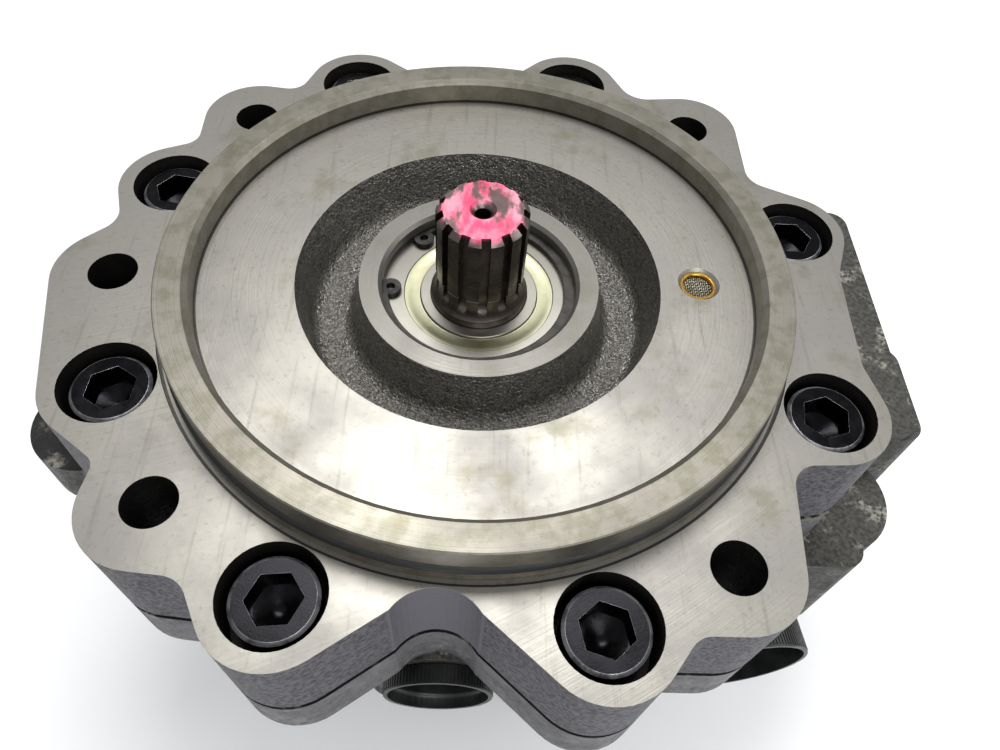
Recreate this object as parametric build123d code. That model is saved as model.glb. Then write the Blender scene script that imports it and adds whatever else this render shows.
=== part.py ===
from build123d import *
import os
from math import acos, asin, atan2, cos, degrees, pi, radians, sin, sqrt, tan

os.makedirs("parts", exist_ok=True)

# Hydraulic swing motor, millimetres. +Z runs along the shaft towards its splined end.
# The origin is on the shaft axis, level with the mounting face of the flange.
# Angles are measured about the shaft axis from +X.

# Running clearances
FIT = 0.05
GAP = 0.3

# Front casing: register ring, recess and bearing boss
REGISTER_R = 125.0
REGISTER_H = 18.6
REGISTER_WALL = 12.5
RIM_CHAMFER = 2.1
RIM_EDGE = 0.5
RECESS_DEPTH = 11.2
SEAL_GROOVE_Z = 1.5
SEAL_GROOVE_W = 6.5
SEAL_GROOVE_D = 4.2
BASE_RELIEF_W = 3.6
BASE_RELIEF_D = 1.2
CAST_GROOVE_R = 74.2
CAST_GROOVE_D = 26.0
CAST_GROOVE_DRAFT = 3.5
BOSS_R = 49.2
BOSS_DROP = 13.8
BEARING_DROP = 21.8
BEARING_LEAD = 1.5
SEAL_LEDGE = 2.8
SEAL_CORD_R = 2.6
FLANGE_T = 43.8

# Ball bearing and what holds it
BEARING_R = 40.0
BEARING_W = 18.0
JOURNAL_R = 20.0
BALL_PITCH_R = 30.0
BALL_R = 5.9
BALL_COUNT = 9
RACE_CLEARANCE = 0.12
SHIELD_OUTER_R = 31.0
SHIELD_INNER_R = 24.6
SHIELD_T = 1.0
CIRCLIP_T = 2.5
CIRCLIP_GROOVE_D = 2.4
CIRCLIP_BAND = 5.6
CIRCLIP_OFFSET = 1.2
CIRCLIP_GAP_ANGLE = 157.0
CIRCLIP_LUG_SPREAD = 50.0
CIRCLIP_LUG_R = 4.4
CIRCLIP_EYE_R = 1.7
SHAFT_SEAL_R = 36.0
SHAFT_SEAL_W = 10.0

# Flange outline: screws in counterbores, plain mounting holes and the dips between them.
# Each entry is (angle, lobe radius); a dip is (angle, distance from the axis, corner radius).
SCREW_CIRCLE_R = 147.0
HOLE_CIRCLE_R = 149.4
SCREW_STEP = 21.5
HOLE_ANGLES = (46.96, 180 - 2 * SCREW_STEP, 180.0, 180 + 2 * SCREW_STEP, 306.8)
SCREW_ANGLES = (16.02, 180 - 5 * SCREW_STEP, 180 - 3 * SCREW_STEP, 180 - SCREW_STEP,
                180 + SCREW_STEP, 180 + 3 * SCREW_STEP, 180 + 5 * SCREW_STEP, 337.57)
LOBE_R = 24.4
HOLE_LOBE_R = 24.4
CORNER_LOBE_R = 23.2
MOUNT_HOLE_R = 9.8
DIPS = {
    0: [(29.9, 145.6, 11)],
    1: [(59.9, 151.0, 13)],
    2: [(93.8, 122.4, 22)],
    3: [(126.5, 155.0, 12)],
    4: [(148.3, 156.4, 8)],
    5: [(169.4, 157.0, 11)],
    6: [],
    7: [(213.5, 158.2, 6)],
    8: [(233.9, 158.3, 11)],
    9: [(265.6, 125.8, 20)],
    10: [(297.1, 160.4, 9)],
    11: [(325.4, 141.1, 10)],
    12: [(347.6, 157.9, 11), (5.6, 157.4, 11)],
}

# Milled clearance over the front port, through both flanges
PORT_CUT_R = 17.9
PORT_CUT_ANGLE = 265.6
PORT_CUT_CIRCLE_R = 147.3

# Casing screws
SCREW_R = 10.0
SCREW_HEAD_R = 15.0
SCREW_HEAD_H = 20.0
SCREW_HEX_AF = 17.0
SCREW_HEX_D = 10.0
COUNTERBORE_R = 18.0
COUNTERBORE_D = 24.0
SCREW_LENGTH = 45.0
SCREW_BASE_TURN = 37.0
HOLE_RUN_ON = 40.0

# Dowel pins between the casings
DOWEL_R = 5.0
DOWEL_LENGTH = 24.0
DOWEL_ANGLES = (0.0, 192.0)
DOWEL_CIRCLE_R = 118.0

# Vent screen in the recess floor
VENT_X = 90.6
VENT_R = 7.5
VENT_DEPTH = 20.0
VENT_CHAMFER = 1.2
VENT_RING_T = 1.6
VENT_RING_H = 4.0
VENT_RECESS = 1.2
VENT_MESH_T = 0.6

# Main housing
PARTING_W = 3.4
PARTING_D = 3.0
HOUSING_FLANGE_T = 26.6
BARREL_R = 108.0
HOUSING_LENGTH = 127.2
CAVITY_R = 78.0
PLATE_BORE_R = 84.0
PISTON_BORE_R = 92.0
PLATE_STACK_DEPTH = 62.2
PISTON_BORE_LENGTH = 31.0
CASING_SEAL_CORD_R = 1.5
CASING_SEAL_OFFSET = 10.0
REAR_SEAL_CORD_R = 1.2
REAR_SEAL_OFFSET = 2.6

# Rough cast blocks on the right side of the main housing
VALVE_BLOCK_X = 202.0
VALVE_BLOCK_Y = (-36.0, 108.0)
VALVE_BLOCK_DROP = 6.0
VALVE_BLOCK_H = 52.0
VALVE_PAD_T = 4.5
VALVE_PAD_LENGTH = 53.0
VALVE_PAD_ROOT = 40.0
VALVE_PAD_DROP = 3.0
BLOCK_ROOT_X = 60.0
PORT_BLOCK_X = 176.0
PORT_BLOCK_Y = -88.0
PORT_BLOCK_TOP = 32.0
PORT_BLOCK_H = 68.0
PORT_BLOCK_BACK = 20.0
PORT_BOSS_X = 166.0
PORT_BOSS_Y = -54.0
PORT_BOSS_R = 27.0
LUG_X = -163.0
LUG_Y = -44.0
LUG_R = 23.0
BLOCK_ROUND = 9.0

# Port bosses at the front and the plastic caps in them
CAP_WALL = 1.7
CAP_PLUG_DEPTH = 16.0
SMALL_CAP_X = -11.0
SMALL_CAP_Z = -100.0
SMALL_CAP_R = 22.8
SMALL_CAP_REACH = 8.0
SMALL_BOSS_R = 27.0
SMALL_BOSS_Y = -132.0
LARGE_CAP_X = 118.0
LARGE_CAP_Z = -104.5
LARGE_CAP_R = 29.3
LARGE_CAP_REACH = 26.0
LARGE_BOSS_R = 34.0
LARGE_BOSS_Y = -98.3
LARGE_CAP_YAW = 8.0
CAP_STEP = 1.6
CAP_LEDGE = 2.0
PORT_BOSS_LENGTH = 60.0
SMALL_PORT_DEPTH = 29.0
LARGE_PORT_DEPTH = 39.0
GALLERY_R = 7.0
GALLERY_LENGTH = 70.0

# Rear cover
COVER_R = 108.0
COVER_T = 60.0
COVER_SCREWS = 8
COVER_SCREW_R = 7.0
COVER_SCREW_CIRCLE_R = 104.5
COVER_SCREW_START = 22.5
COVER_EAR_R = 14.0
COVER_EAR_H = 42.0
COVER_HEAD_R = 10.5
COVER_HEAD_H = 14.0
COVER_HEAD_SINK = 1.5
COVER_SEAT_CLEARANCE = 0.8
COVER_HEX_AF = 12.0
COVER_HEX_D = 7.0
COVER_SCREW_LENGTH = 76.0
COVER_BLOCK_W = 56.0
COVER_BLOCK_X = 136.0
COVER_BLOCK_Y = 124.0
COVER_BLOCK_DROP = 6.0
COVER_BLOCK_ROUND = 6.0
PORT_PAD_EDGE = 8.0
BEARING_POCKET_STEP = 4.0
CROSS_PORT_R = 6.0
CROSS_PORT_RUN_ON = 12.0
MAIN_PORT_X = 60.0
MAIN_PORT_R = 9.5
MAIN_PORT_DEPTH = 40.0
PORT_BOLT_R = 4.25
PORT_BOLT_X = 47.6
PORT_BOLT_Z = 22.2
PORT_BOLT_DEPTH = 14.0
VALVE_AXIS_DROP = 33.0

# Shaft
SPLINE_R = 17.9
SPLINE_TEETH = 13
SPLINE_START_ANGLE = -85.1
SLOT_W = 3.6
SLOT_D = 2.8
SLOT_END_Z = 9.0
CUTTER_R = 8.0
SHAFT_TIP = 24.5
SHAFT_CHAMFER = 2.2
SPLINE_FOOT_Z = 10.4
SPLINE_FOOT_CHAMFER = 0.7
NECK_ARC_R = 10.9
NECK_TOP_Z = 6.5
CENTRE_HOLE_R = 3.0
CENTRE_HOLE_DEPTH = 24.0
COUNTERSINK_R = 5.2
SEAL_JOURNAL_R = 24.0
SEAL_JOURNAL_LENGTH = 17.0
DRIVE_R = 22.0
DRIVE_SLOTS = 12
DRIVE_KEY_R = 2.4
REAR_JOURNAL_R = 15.0
REAR_JOURNAL_LENGTH = 24.0

# Rotating group
SWASH_R = 71.6
SWASH_HOLE_R = 30.0
SWASH_T = 22.0
SWASH_ANGLE = 15.0
SWASH_SEAT_Z = -40.0
SHOE_DROP = 38.2
SHOE_R = 12.3
SHOE_T = 2.6
SHOE_NECK_R = 9.6
SHOE_H = 10.0
PISTON_COUNT = 9
PISTON_PITCH_R = 46.0
PISTON_R = 11.0
PISTON_BALL_R = 7.0
PISTON_NECK_R = 4.6
PISTON_LENGTH = 52.0
PISTON_HOLLOW_R = 6.5
BLOCK_R = 66.0
BLOCK_LENGTH = 66.0
BLOCK_BORE_DEPTH = 58.0
KIDNEY_R = 5.0
RETAINER_R = 61.0
RETAINER_T = 4.0
GUIDE_R = 31.0
VALVE_PLATE_R = 62.0
VALVE_PLATE_T = 5.0
CENTRE_SPRING_R = 26.5
CENTRE_SPRING_WIRE = 3.0
CENTRE_SPRING_TURNS = 3.0
SPRING_ROOM = 24.0
GUIDE_H = 13.0
REAR_BEARING_R = 21.0

# Parking brake
PLATE_T = 2.6
PLATE_GAP = 0.2
FRICTION_COUNT = 3
FRICTION_R = 80.0
SEPARATOR_INNER_R = 70.5
TAB_COUNT = 12
TAB_R = 3.0
BRAKE_PISTON_INNER_R = 72.0
BRAKE_PISTON_LENGTH = 30.0
BRAKE_FLANGE_T = 12.0
BRAKE_SEAL_W = 3.2
BRAKE_SEAL_D = 3.0
TAB_START = 15.0
TAB_ROOM = 2.0
DISC_SPRING_T = 3.2
DISC_SPRING_INNER_R = 74.0
DISC_SPRING_ROOM = 2.0

# Relief valves across the rear cover and check valves in it
RELIEF_R = 13.0
RELIEF_LENGTH = 58.0
RELIEF_HEX_AF = 32.0
RELIEF_HEX_H = 14.0
RELIEF_WALL = 4.0
POPPET_R = 8.0
POPPET_LENGTH = 20.0
POPPET_SEAT_R = 5.5
RELIEF_END_WALL = 4.0
RELIEF_CAP_T = 8.0
RELIEF_STUB_H = 8.0
VALVE_SPRING_WIRE = 1.8
VALVE_SPRING_TURNS = 4.0
CHECK_Y = -58.0
CHECK_X = 44.0
CHECK_R = 12.0
CHECK_PLUG_H = 14.0
CHECK_PLUG_HEX = 10.0
CHECK_DEPTH = 46.0
CHECK_STEM_R = 4.0
CHECK_HEAD_H = 6.0
CHECK_SPRING_R = 6.5
CHECK_HEX_DEPTH = 8.0
CHECK_PLUG_SINK = 1.0
CHECK_POPPET_R = 9.5
CHECK_POPPET_H = 14.0

# Levels worked out from the sizes above
TOP_Z = REGISTER_H
RECESS_Z = TOP_Z - RECESS_DEPTH
BOSS_Z = TOP_Z - BOSS_DROP
BEARING_Z = TOP_Z - BEARING_DROP
BEARING_SEAT_Z = BEARING_Z - BEARING_W
SEAL_SEAT_Z = BEARING_SEAT_Z - SHAFT_SEAL_W - SEAL_LEDGE
TIP_Z = TOP_Z + SHAFT_TIP
PARTING_Z = -FLANGE_T
HOUSING_FLANGE_Z = PARTING_Z - PARTING_W - HOUSING_FLANGE_T
COVER_Z = PARTING_Z - HOUSING_LENGTH
BOTTOM_Z = COVER_Z - COVER_T
VALVE_AXIS_Z = COVER_Z - VALVE_AXIS_DROP
PLATE_STOP_Z = PARTING_Z - PLATE_STACK_DEPTH
PISTON_STEP_Z = COVER_Z + PISTON_BORE_LENGTH
SHOE_Z = SWASH_SEAT_Z - SHOE_DROP
BLOCK_Z = COVER_Z + VALVE_PLATE_T + BLOCK_LENGTH
PLATE_COUNT = 2 * FRICTION_COUNT + 1
BRAKE_PISTON_Z = PLATE_STOP_Z - PLATE_COUNT * (PLATE_T + PLATE_GAP)
REGISTER_INNER_R = REGISTER_R - REGISTER_WALL
DISC_SPRING_OUTER_R = PISTON_BORE_R - DISC_SPRING_ROOM
NECK_R = SPLINE_R - SPLINE_FOOT_CHAMFER
RETAINER_Z = SHOE_Z - SHOE_T - 0.2
BALL_CENTRE_Z = SHOE_Z - SHOE_H + 1.5


def polar(angle, radius):
    """Point at an angle in degrees and a distance from the shaft axis."""
    return Vector(radius * cos(radians(angle)), radius * sin(radians(angle)))


def cylinder(radius, z_low, z_high, x=0.0, y=0.0):
    """Upright cylinder between two levels."""
    height = z_high - z_low
    return Pos(x, y, z_low + height / 2) * Cylinder(radius, height)


def cylinder_along(radius, start, direction, length):
    """Cylinder from a start point along any direction."""
    plane = Plane(origin=start, z_dir=direction)
    return extrude(plane * Circle(radius), length)


def block(low, high, round_r=0.0):
    """Box between two corners, with its upright edges rounded."""
    size = [h - l for l, h in zip(low, high)]
    centre = [(l + h) / 2 for l, h in zip(low, high)]
    sketch = RectangleRounded(size[0], size[1], round_r) if round_r else Rectangle(size[0], size[1])
    return extrude(Pos(centre[0], centre[1], low[2]) * sketch, size[2])


def turned(points):
    """Solid of revolution about the shaft axis from (radius, level) points."""
    corners = [(r, 0, z) for r, z in points]
    return revolve(make_face(Polyline(*corners, close=True)), Axis.Z)


def turned_along(points, start, direction):
    """Solid of revolution from (radius, distance) points about an axis from start along direction."""
    return Plane(origin=start, z_dir=direction) * turned(points)


def around(count, solid, start=0.0, radius=0.0):
    """Copies of a solid spaced evenly about the shaft axis."""
    copies = []
    for i in range(count):
        turn = start + 360 / count * i
        copies.append(Rot(0, 0, turn) * Pos(radius, 0, 0) * solid)
    return copies


def hexagon(across_flats, z_low, z_high):
    """Upright hexagonal prism."""
    return extrude(Pos(0, 0, z_low) * RegularPolygon(across_flats / 2, 6, major_radius=False), z_high - z_low)


def coil(radius, wire, z_low, z_high, turns):
    """Compression spring of square wire with its wire ends inside two levels."""
    height = z_high - z_low - wire
    path = Helix(height / turns, height, radius)
    section = Plane(origin=path @ 0, z_dir=path % 0) * Rectangle(wire, wire)
    return Pos(0, 0, z_low + wire / 2) * sweep(section, path, is_frenet=True)


def tangent_turn(centre_a, r_a, centre_b, r_b):
    """Direction of the line that leaves circle a and meets circle b with both on its left."""
    v = centre_b - centre_a
    turn = asin((r_a - r_b) / v.length)
    return (v / v.length).rotate(Axis.Z, degrees(turn))


def right_of(direction):
    """Unit vector to the right of a direction in the flange plane."""
    return Vector(direction.Y, -direction.X)


def corner_arc(before, corner, after, radius):
    """Rounded corner of the outline: its start, middle and end."""
    d1 = (corner - before).normalized()
    d2 = (after - corner).normalized()
    turn = acos(max(-1.0, min(1.0, d1.dot(d2))))
    room = 0.48 * min((corner - before).length, (after - corner).length)
    reach = min(radius * tan(turn / 2), room)
    radius = reach / tan(turn / 2)
    centre = corner - d1 * reach + right_of(d1) * radius
    middle = centre + (corner - centre).normalized() * radius
    return corner - d1 * reach, middle, corner + d2 * reach


def flange_lobes(grow):
    """Centre and radius of each lobe of the flange outline, in order round the casing."""
    lobes = [(angle, SCREW_CIRCLE_R, LOBE_R) for angle in SCREW_ANGLES]
    lobes += [(angle, HOLE_CIRCLE_R, HOLE_LOBE_R) for angle in HOLE_ANGLES]
    lobes = [(a, c, CORNER_LOBE_R if a > 300 or a < 40 else r) for a, c, r in lobes]
    return [(polar(a, c), r + grow) for a, c, r in sorted(lobes)]


def flange_outline(grow=0.0):
    """Scalloped outline: an arc round each hole, joined by tangent lines with rounded dips."""
    lobes = flange_lobes(grow)
    count = len(lobes)
    links = []
    for i, (centre, r) in enumerate(lobes):
        next_centre, next_r = lobes[(i + 1) % count]
        corners = [(polar(a, d + grow), rad) for a, d, rad in DIPS[i]]
        stops = [(centre, r)] + [(p, 0.0) for p, _ in corners] + [(next_centre, next_r)]
        first = tangent_turn(*stops[0], *stops[1])
        last = tangent_turn(*stops[-2], *stops[-1])
        path = [centre + right_of(first) * r]
        path += [p for p, _ in corners]
        path += [next_centre + right_of(last) * next_r]
        links.append((path, [rad for _, rad in corners]))
    edges = []
    for i, (path, radii) in enumerate(links):
        start = path[0]
        for j, radius in enumerate(radii):
            a, middle, b = corner_arc(path[j], path[j + 1], path[j + 2], radius)
            edges += [Line(start, a), ThreePointArc(a, middle, b)]
            start = b
        edges.append(Line(start, path[-1]))
        centre, r = lobes[(i + 1) % count]
        leave = links[(i + 1) % count][0][0]
        enter_angle = atan2(path[-1].Y - centre.Y, path[-1].X - centre.X)
        sweep_angle = (atan2(leave.Y - centre.Y, leave.X - centre.X) - enter_angle) % (2 * pi)
        middle_angle = enter_angle + sweep_angle / 2
        middle = centre + Vector(r * cos(middle_angle), r * sin(middle_angle))
        edges.append(ThreePointArc(path[-1], middle, leave))
    return make_face(Wire(edges))


def seal_groove(centre_r, cord_r, face_z, into):
    """Square groove for an O-ring, cut from a flat face up (into 1) or down (into -1)."""
    half = cord_r + GAP
    depth = 2 * cord_r + FIT
    return turned([(centre_r - half, face_z - into), (centre_r + half, face_z - into),
                   (centre_r + half, face_z + into * depth), (centre_r - half, face_z + into * depth)])


def port_cut(z_low, z_high, grow=0.0):
    """Round clearance milled through a flange above the front port."""
    spot = polar(PORT_CUT_ANGLE, PORT_CUT_CIRCLE_R)
    return cylinder(PORT_CUT_R + grow, z_low, z_high, spot.X, spot.Y)


def front_casing():
    """Flange with its register ring, turned recess, cast groove and bearing boss."""
    body = extrude(Pos(0, 0, PARTING_Z) * flange_outline(), FLANGE_T)
    body += cylinder(REGISTER_R, -1, TOP_Z)
    floor_r = CAST_GROOVE_R - CAST_GROOVE_DRAFT
    wall_r = BOSS_R + CAST_GROOVE_DRAFT
    bottom = RECESS_Z - CAST_GROOVE_D
    round_r = (floor_r - wall_r) * 0.3
    chamfer_z = TOP_Z - RIM_CHAMFER
    body -= turned([
        (0, TOP_Z + 1), (REGISTER_INNER_R + RIM_CHAMFER + 1, TOP_Z + 1),
        (REGISTER_INNER_R + RIM_CHAMFER, TOP_Z), (REGISTER_INNER_R, chamfer_z),
        (REGISTER_INNER_R, RECESS_Z), (CAST_GROOVE_R, RECESS_Z),
        (floor_r, bottom + round_r), (floor_r - round_r / 3, bottom + round_r / 3),
        (floor_r - round_r, bottom), (wall_r + round_r, bottom),
        (wall_r + round_r / 3, bottom + round_r / 3), (wall_r, bottom + round_r),
        (BOSS_R, BOSS_Z), (BEARING_R + BEARING_LEAD, BOSS_Z), (BEARING_R, BOSS_Z - BEARING_LEAD),
        (BEARING_R, BEARING_SEAT_Z), (SHAFT_SEAL_R, BEARING_SEAT_Z),
        (SHAFT_SEAL_R, SEAL_SEAT_Z), (SEAL_JOURNAL_R + 4, SEAL_SEAT_Z),
        (SEAL_JOURNAL_R + 4, SWASH_SEAT_Z), (SWASH_R + 0.4, SWASH_SEAT_Z),
        (SWASH_R + 0.4, PARTING_Z - 1), (0, PARTING_Z - 1),
    ])
    clip_r = BEARING_R + CIRCLIP_GROOVE_D
    clip_top = BEARING_Z + CIRCLIP_T + 0.1
    body -= turned([(BEARING_R - 1, BEARING_Z), (clip_r, BEARING_Z), (clip_r, clip_top),
                    (BEARING_R - 1, clip_top)])
    groove_r = REGISTER_R - SEAL_GROOVE_D
    groove_top = SEAL_GROOVE_Z + SEAL_GROOVE_W
    body -= turned([(groove_r, SEAL_GROOVE_Z), (REGISTER_R + 1, SEAL_GROOVE_Z),
                    (REGISTER_R + 1, groove_top), (groove_r, groove_top)])
    relief_r = REGISTER_R + BASE_RELIEF_W
    body -= turned([(REGISTER_R, -BASE_RELIEF_D), (relief_r, -BASE_RELIEF_D),
                    (relief_r, 1), (REGISTER_R, 1)])
    edge_r, edge_z = REGISTER_R - RIM_EDGE, TOP_Z - RIM_EDGE
    body -= turned([(edge_r, TOP_Z), (REGISTER_R, edge_z), (REGISTER_R + 1, edge_z),
                    (REGISTER_R + 1, TOP_Z + 1), (edge_r, TOP_Z + 1)])
    body -= port_cut(PARTING_Z, 1)
    body -= seal_groove(PLATE_BORE_R + CASING_SEAL_OFFSET, CASING_SEAL_CORD_R, PARTING_Z, 1)
    for angle in SCREW_ANGLES:
        spot = polar(angle, SCREW_CIRCLE_R)
        body -= cylinder(COUNTERBORE_R, -COUNTERBORE_D, 1, spot.X, spot.Y)
        body -= cylinder(SCREW_R + 1, PARTING_Z - 1, 1, spot.X, spot.Y)
    for angle in HOLE_ANGLES:
        spot = polar(angle, HOLE_CIRCLE_R)
        body -= cylinder(MOUNT_HOLE_R, PARTING_Z - 1, 1, spot.X, spot.Y)
    body -= cylinder(VENT_R, RECESS_Z - VENT_DEPTH, RECESS_Z + 1, VENT_X)
    body -= Pos(VENT_X, 0, 0) * turned([
        (0, RECESS_Z - VENT_CHAMFER), (VENT_R, RECESS_Z - VENT_CHAMFER),
        (VENT_R + VENT_CHAMFER, RECESS_Z), (VENT_R + VENT_CHAMFER, RECESS_Z + 1), (0, RECESS_Z + 1)])
    for angle in DOWEL_ANGLES:
        spot = polar(angle, DOWEL_CIRCLE_R)
        top = PARTING_Z + DOWEL_LENGTH / 2 + 1
        body -= cylinder(DOWEL_R + FIT, PARTING_Z - 1, top, spot.X, spot.Y)
    return body


def large_cap_frame():
    """Centre of the large port's face and the direction its cap pulls off."""
    direction = Vector(sin(radians(LARGE_CAP_YAW)), -cos(radians(LARGE_CAP_YAW)), 0)
    return Vector(LARGE_CAP_X, LARGE_BOSS_Y, LARGE_CAP_Z), direction


def small_cap_frame():
    """Centre of the small port's face and the direction its cap pulls off."""
    return Vector(SMALL_CAP_X, SMALL_BOSS_Y, SMALL_CAP_Z), Vector(0, -1, 0)


def cap_plug_r(cap_r):
    """Outer radius of the part of a cap that sits in its port."""
    return cap_r - CAP_STEP


def main_housing():
    """Second casing: scalloped flange, barrel, rough cast blocks and port bosses."""
    step_z = PARTING_Z - PARTING_W
    body = extrude(Pos(0, 0, HOUSING_FLANGE_Z) * flange_outline(), HOUSING_FLANGE_T)
    body += extrude(Pos(0, 0, step_z) * flange_outline(-PARTING_D), PARTING_W)
    body -= port_cut(HOUSING_FLANGE_Z - 1, PARTING_Z + 1)
    body -= port_cut(step_z, PARTING_Z + 1, PARTING_D)
    body += cylinder(BARREL_R, COVER_Z, PARTING_Z - 1)
    for ear in around(COVER_SCREWS, cylinder(COVER_EAR_R, COVER_Z, COVER_Z + COVER_EAR_H),
                      COVER_SCREW_START, COVER_SCREW_CIRCLE_R):
        body += ear
    body += cylinder(LUG_R, HOUSING_FLANGE_Z, step_z, LUG_X, LUG_Y)
    block_top = PARTING_Z - VALVE_BLOCK_DROP
    y_low, y_high = VALVE_BLOCK_Y
    block_low = block_top - VALVE_BLOCK_H
    pad_top = block_top - VALVE_PAD_DROP
    pad_end = y_low + VALVE_PAD_LENGTH
    body += block((BLOCK_ROOT_X, y_low, block_low), (VALVE_BLOCK_X, y_high, block_top), BLOCK_ROUND)
    body += block((VALVE_BLOCK_X - VALVE_PAD_ROOT, y_low, block_low),
                  (VALVE_BLOCK_X + VALVE_PAD_T, pad_end, pad_top), BLOCK_ROUND)
    port_top = PARTING_Z - PORT_BLOCK_TOP
    body += block((BLOCK_ROOT_X, PORT_BLOCK_Y, port_top - PORT_BLOCK_H),
                  (PORT_BLOCK_X, PORT_BLOCK_BACK, port_top), BLOCK_ROUND)
    body += cylinder(PORT_BOSS_R, port_top - PORT_BLOCK_H, port_top, PORT_BOSS_X, PORT_BOSS_Y)
    small_face, small_out = small_cap_frame()
    large_face, large_out = large_cap_frame()
    body += cylinder_along(SMALL_BOSS_R, small_face, -small_out, PORT_BOSS_LENGTH)
    body += cylinder_along(LARGE_BOSS_R, large_face, -large_out, PORT_BOSS_LENGTH)
    small_r, large_r = cap_plug_r(SMALL_CAP_R) + GAP, cap_plug_r(LARGE_CAP_R) + GAP
    body -= cylinder_along(small_r, small_face + small_out, -small_out, SMALL_PORT_DEPTH + 1)
    body -= cylinder_along(large_r, large_face + large_out, -large_out, LARGE_PORT_DEPTH + 1)
    body -= cylinder_along(GALLERY_R, small_face, -small_out, GALLERY_LENGTH)
    body -= turned([
        (0, PARTING_Z + 1), (CAVITY_R, PARTING_Z + 1), (CAVITY_R, PLATE_STOP_Z),
        (PLATE_BORE_R, PLATE_STOP_Z), (PLATE_BORE_R, PISTON_STEP_Z),
        (PISTON_BORE_R, PISTON_STEP_Z), (PISTON_BORE_R, COVER_Z - 1), (0, COVER_Z - 1)])
    slot = cylinder(TAB_R + GAP, BRAKE_PISTON_Z - TAB_ROOM, PLATE_STOP_Z)
    for cut in around(TAB_COUNT // 2, slot, 0, PLATE_BORE_R):
        body -= cut
    for angle in SCREW_ANGLES:
        spot = polar(angle, SCREW_CIRCLE_R)
        body -= cylinder(SCREW_R + FIT, HOUSING_FLANGE_Z - HOLE_RUN_ON, PARTING_Z + 1, spot.X, spot.Y)
    for angle in HOLE_ANGLES:
        spot = polar(angle, HOLE_CIRCLE_R)
        body -= cylinder(MOUNT_HOLE_R, HOUSING_FLANGE_Z - HOLE_RUN_ON, PARTING_Z + 1, spot.X, spot.Y)
    for angle in DOWEL_ANGLES:
        spot = polar(angle, DOWEL_CIRCLE_R)
        body -= cylinder(DOWEL_R + FIT, PARTING_Z - DOWEL_LENGTH / 2 - 1, PARTING_Z + 1, spot.X, spot.Y)
    tip_z = BOTTOM_Z + COVER_HEAD_H + COVER_HEAD_SINK + COVER_SCREW_LENGTH
    for hole in around(COVER_SCREWS, cylinder(COVER_SCREW_R + FIT, COVER_Z - 1, tip_z + COVER_SCREW_R),
                       COVER_SCREW_START, COVER_SCREW_CIRCLE_R):
        body -= hole
    return body


def relief_axis(side):
    """Mouth of a relief valve bore on the rear cover and the direction out of it."""
    return Vector(side * COVER_BLOCK_X, 0, VALVE_AXIS_Z), Vector(side, 0, 0)


def check_axis(side):
    """Mouth of a check valve bore under the rear cover and the direction out of it."""
    return Vector(side * CHECK_X, CHECK_Y, BOTTOM_Z), Vector(0, 0, -1)


def rear_cover():
    """Valve casing: round cover with screw ears, relief valve block and main port block."""
    body = cylinder(COVER_R, BOTTOM_Z, COVER_Z)
    for ear in around(COVER_SCREWS, cylinder(COVER_EAR_R, BOTTOM_Z, COVER_Z),
                      COVER_SCREW_START, COVER_SCREW_CIRCLE_R):
        body += ear
    top = COVER_Z - COVER_BLOCK_DROP
    half = COVER_BLOCK_W / 2
    body += block((-COVER_BLOCK_X, -half, BOTTOM_Z), (COVER_BLOCK_X, half, top), COVER_BLOCK_ROUND)
    port_half = MAIN_PORT_X + PORT_BOLT_X / 2 + PORT_PAD_EDGE
    body += block((-port_half, 0, BOTTOM_Z), (port_half, COVER_BLOCK_Y, top), COVER_BLOCK_ROUND)
    pocket_z = COVER_Z - REAR_JOURNAL_LENGTH
    body -= cylinder(REAR_BEARING_R, pocket_z, COVER_Z + 1)
    body -= cylinder(REAR_BEARING_R - BEARING_POCKET_STEP, pocket_z - BEARING_POCKET_STEP, COVER_Z + 1)
    for hole in around(COVER_SCREWS, cylinder(COVER_SCREW_R + 2 * GAP, BOTTOM_Z - 1, COVER_Z + 1),
                       COVER_SCREW_START, COVER_SCREW_CIRCLE_R):
        body -= hole
    seat_z = BOTTOM_Z + COVER_HEAD_H + COVER_HEAD_SINK
    for seat in around(COVER_SCREWS, cylinder(COVER_HEAD_R + COVER_SEAT_CLEARANCE, BOTTOM_Z - 1, seat_z),
                       COVER_SCREW_START, COVER_SCREW_CIRCLE_R):
        body -= seat
    for side in (-1, 1):
        mouth, out = relief_axis(side)
        body -= cylinder_along(RELIEF_R + FIT, mouth + out, -out, RELIEF_LENGTH + 1)
        body -= cylinder_along(CROSS_PORT_R, mouth, -out, RELIEF_LENGTH + CROSS_PORT_RUN_ON)
        port = Vector(side * MAIN_PORT_X, COVER_BLOCK_Y, VALVE_AXIS_Z)
        body -= cylinder_along(MAIN_PORT_R, port + Vector(0, 1, 0), Vector(0, -1, 0), MAIN_PORT_DEPTH + 1)
        for dx in (-PORT_BOLT_X / 2, PORT_BOLT_X / 2):
            for dz in (-PORT_BOLT_Z / 2, PORT_BOLT_Z / 2):
                start = port + Vector(dx, 1, dz)
                body -= cylinder_along(PORT_BOLT_R, start, Vector(0, -1, 0), PORT_BOLT_DEPTH + 1)
        mouth, out = check_axis(side)
        body -= cylinder_along(CHECK_R + FIT, mouth + out, -out, CHECK_DEPTH + 1)
    body -= seal_groove(PISTON_BORE_R + REAR_SEAL_OFFSET, REAR_SEAL_CORD_R, COVER_Z, -1)
    return body


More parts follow.
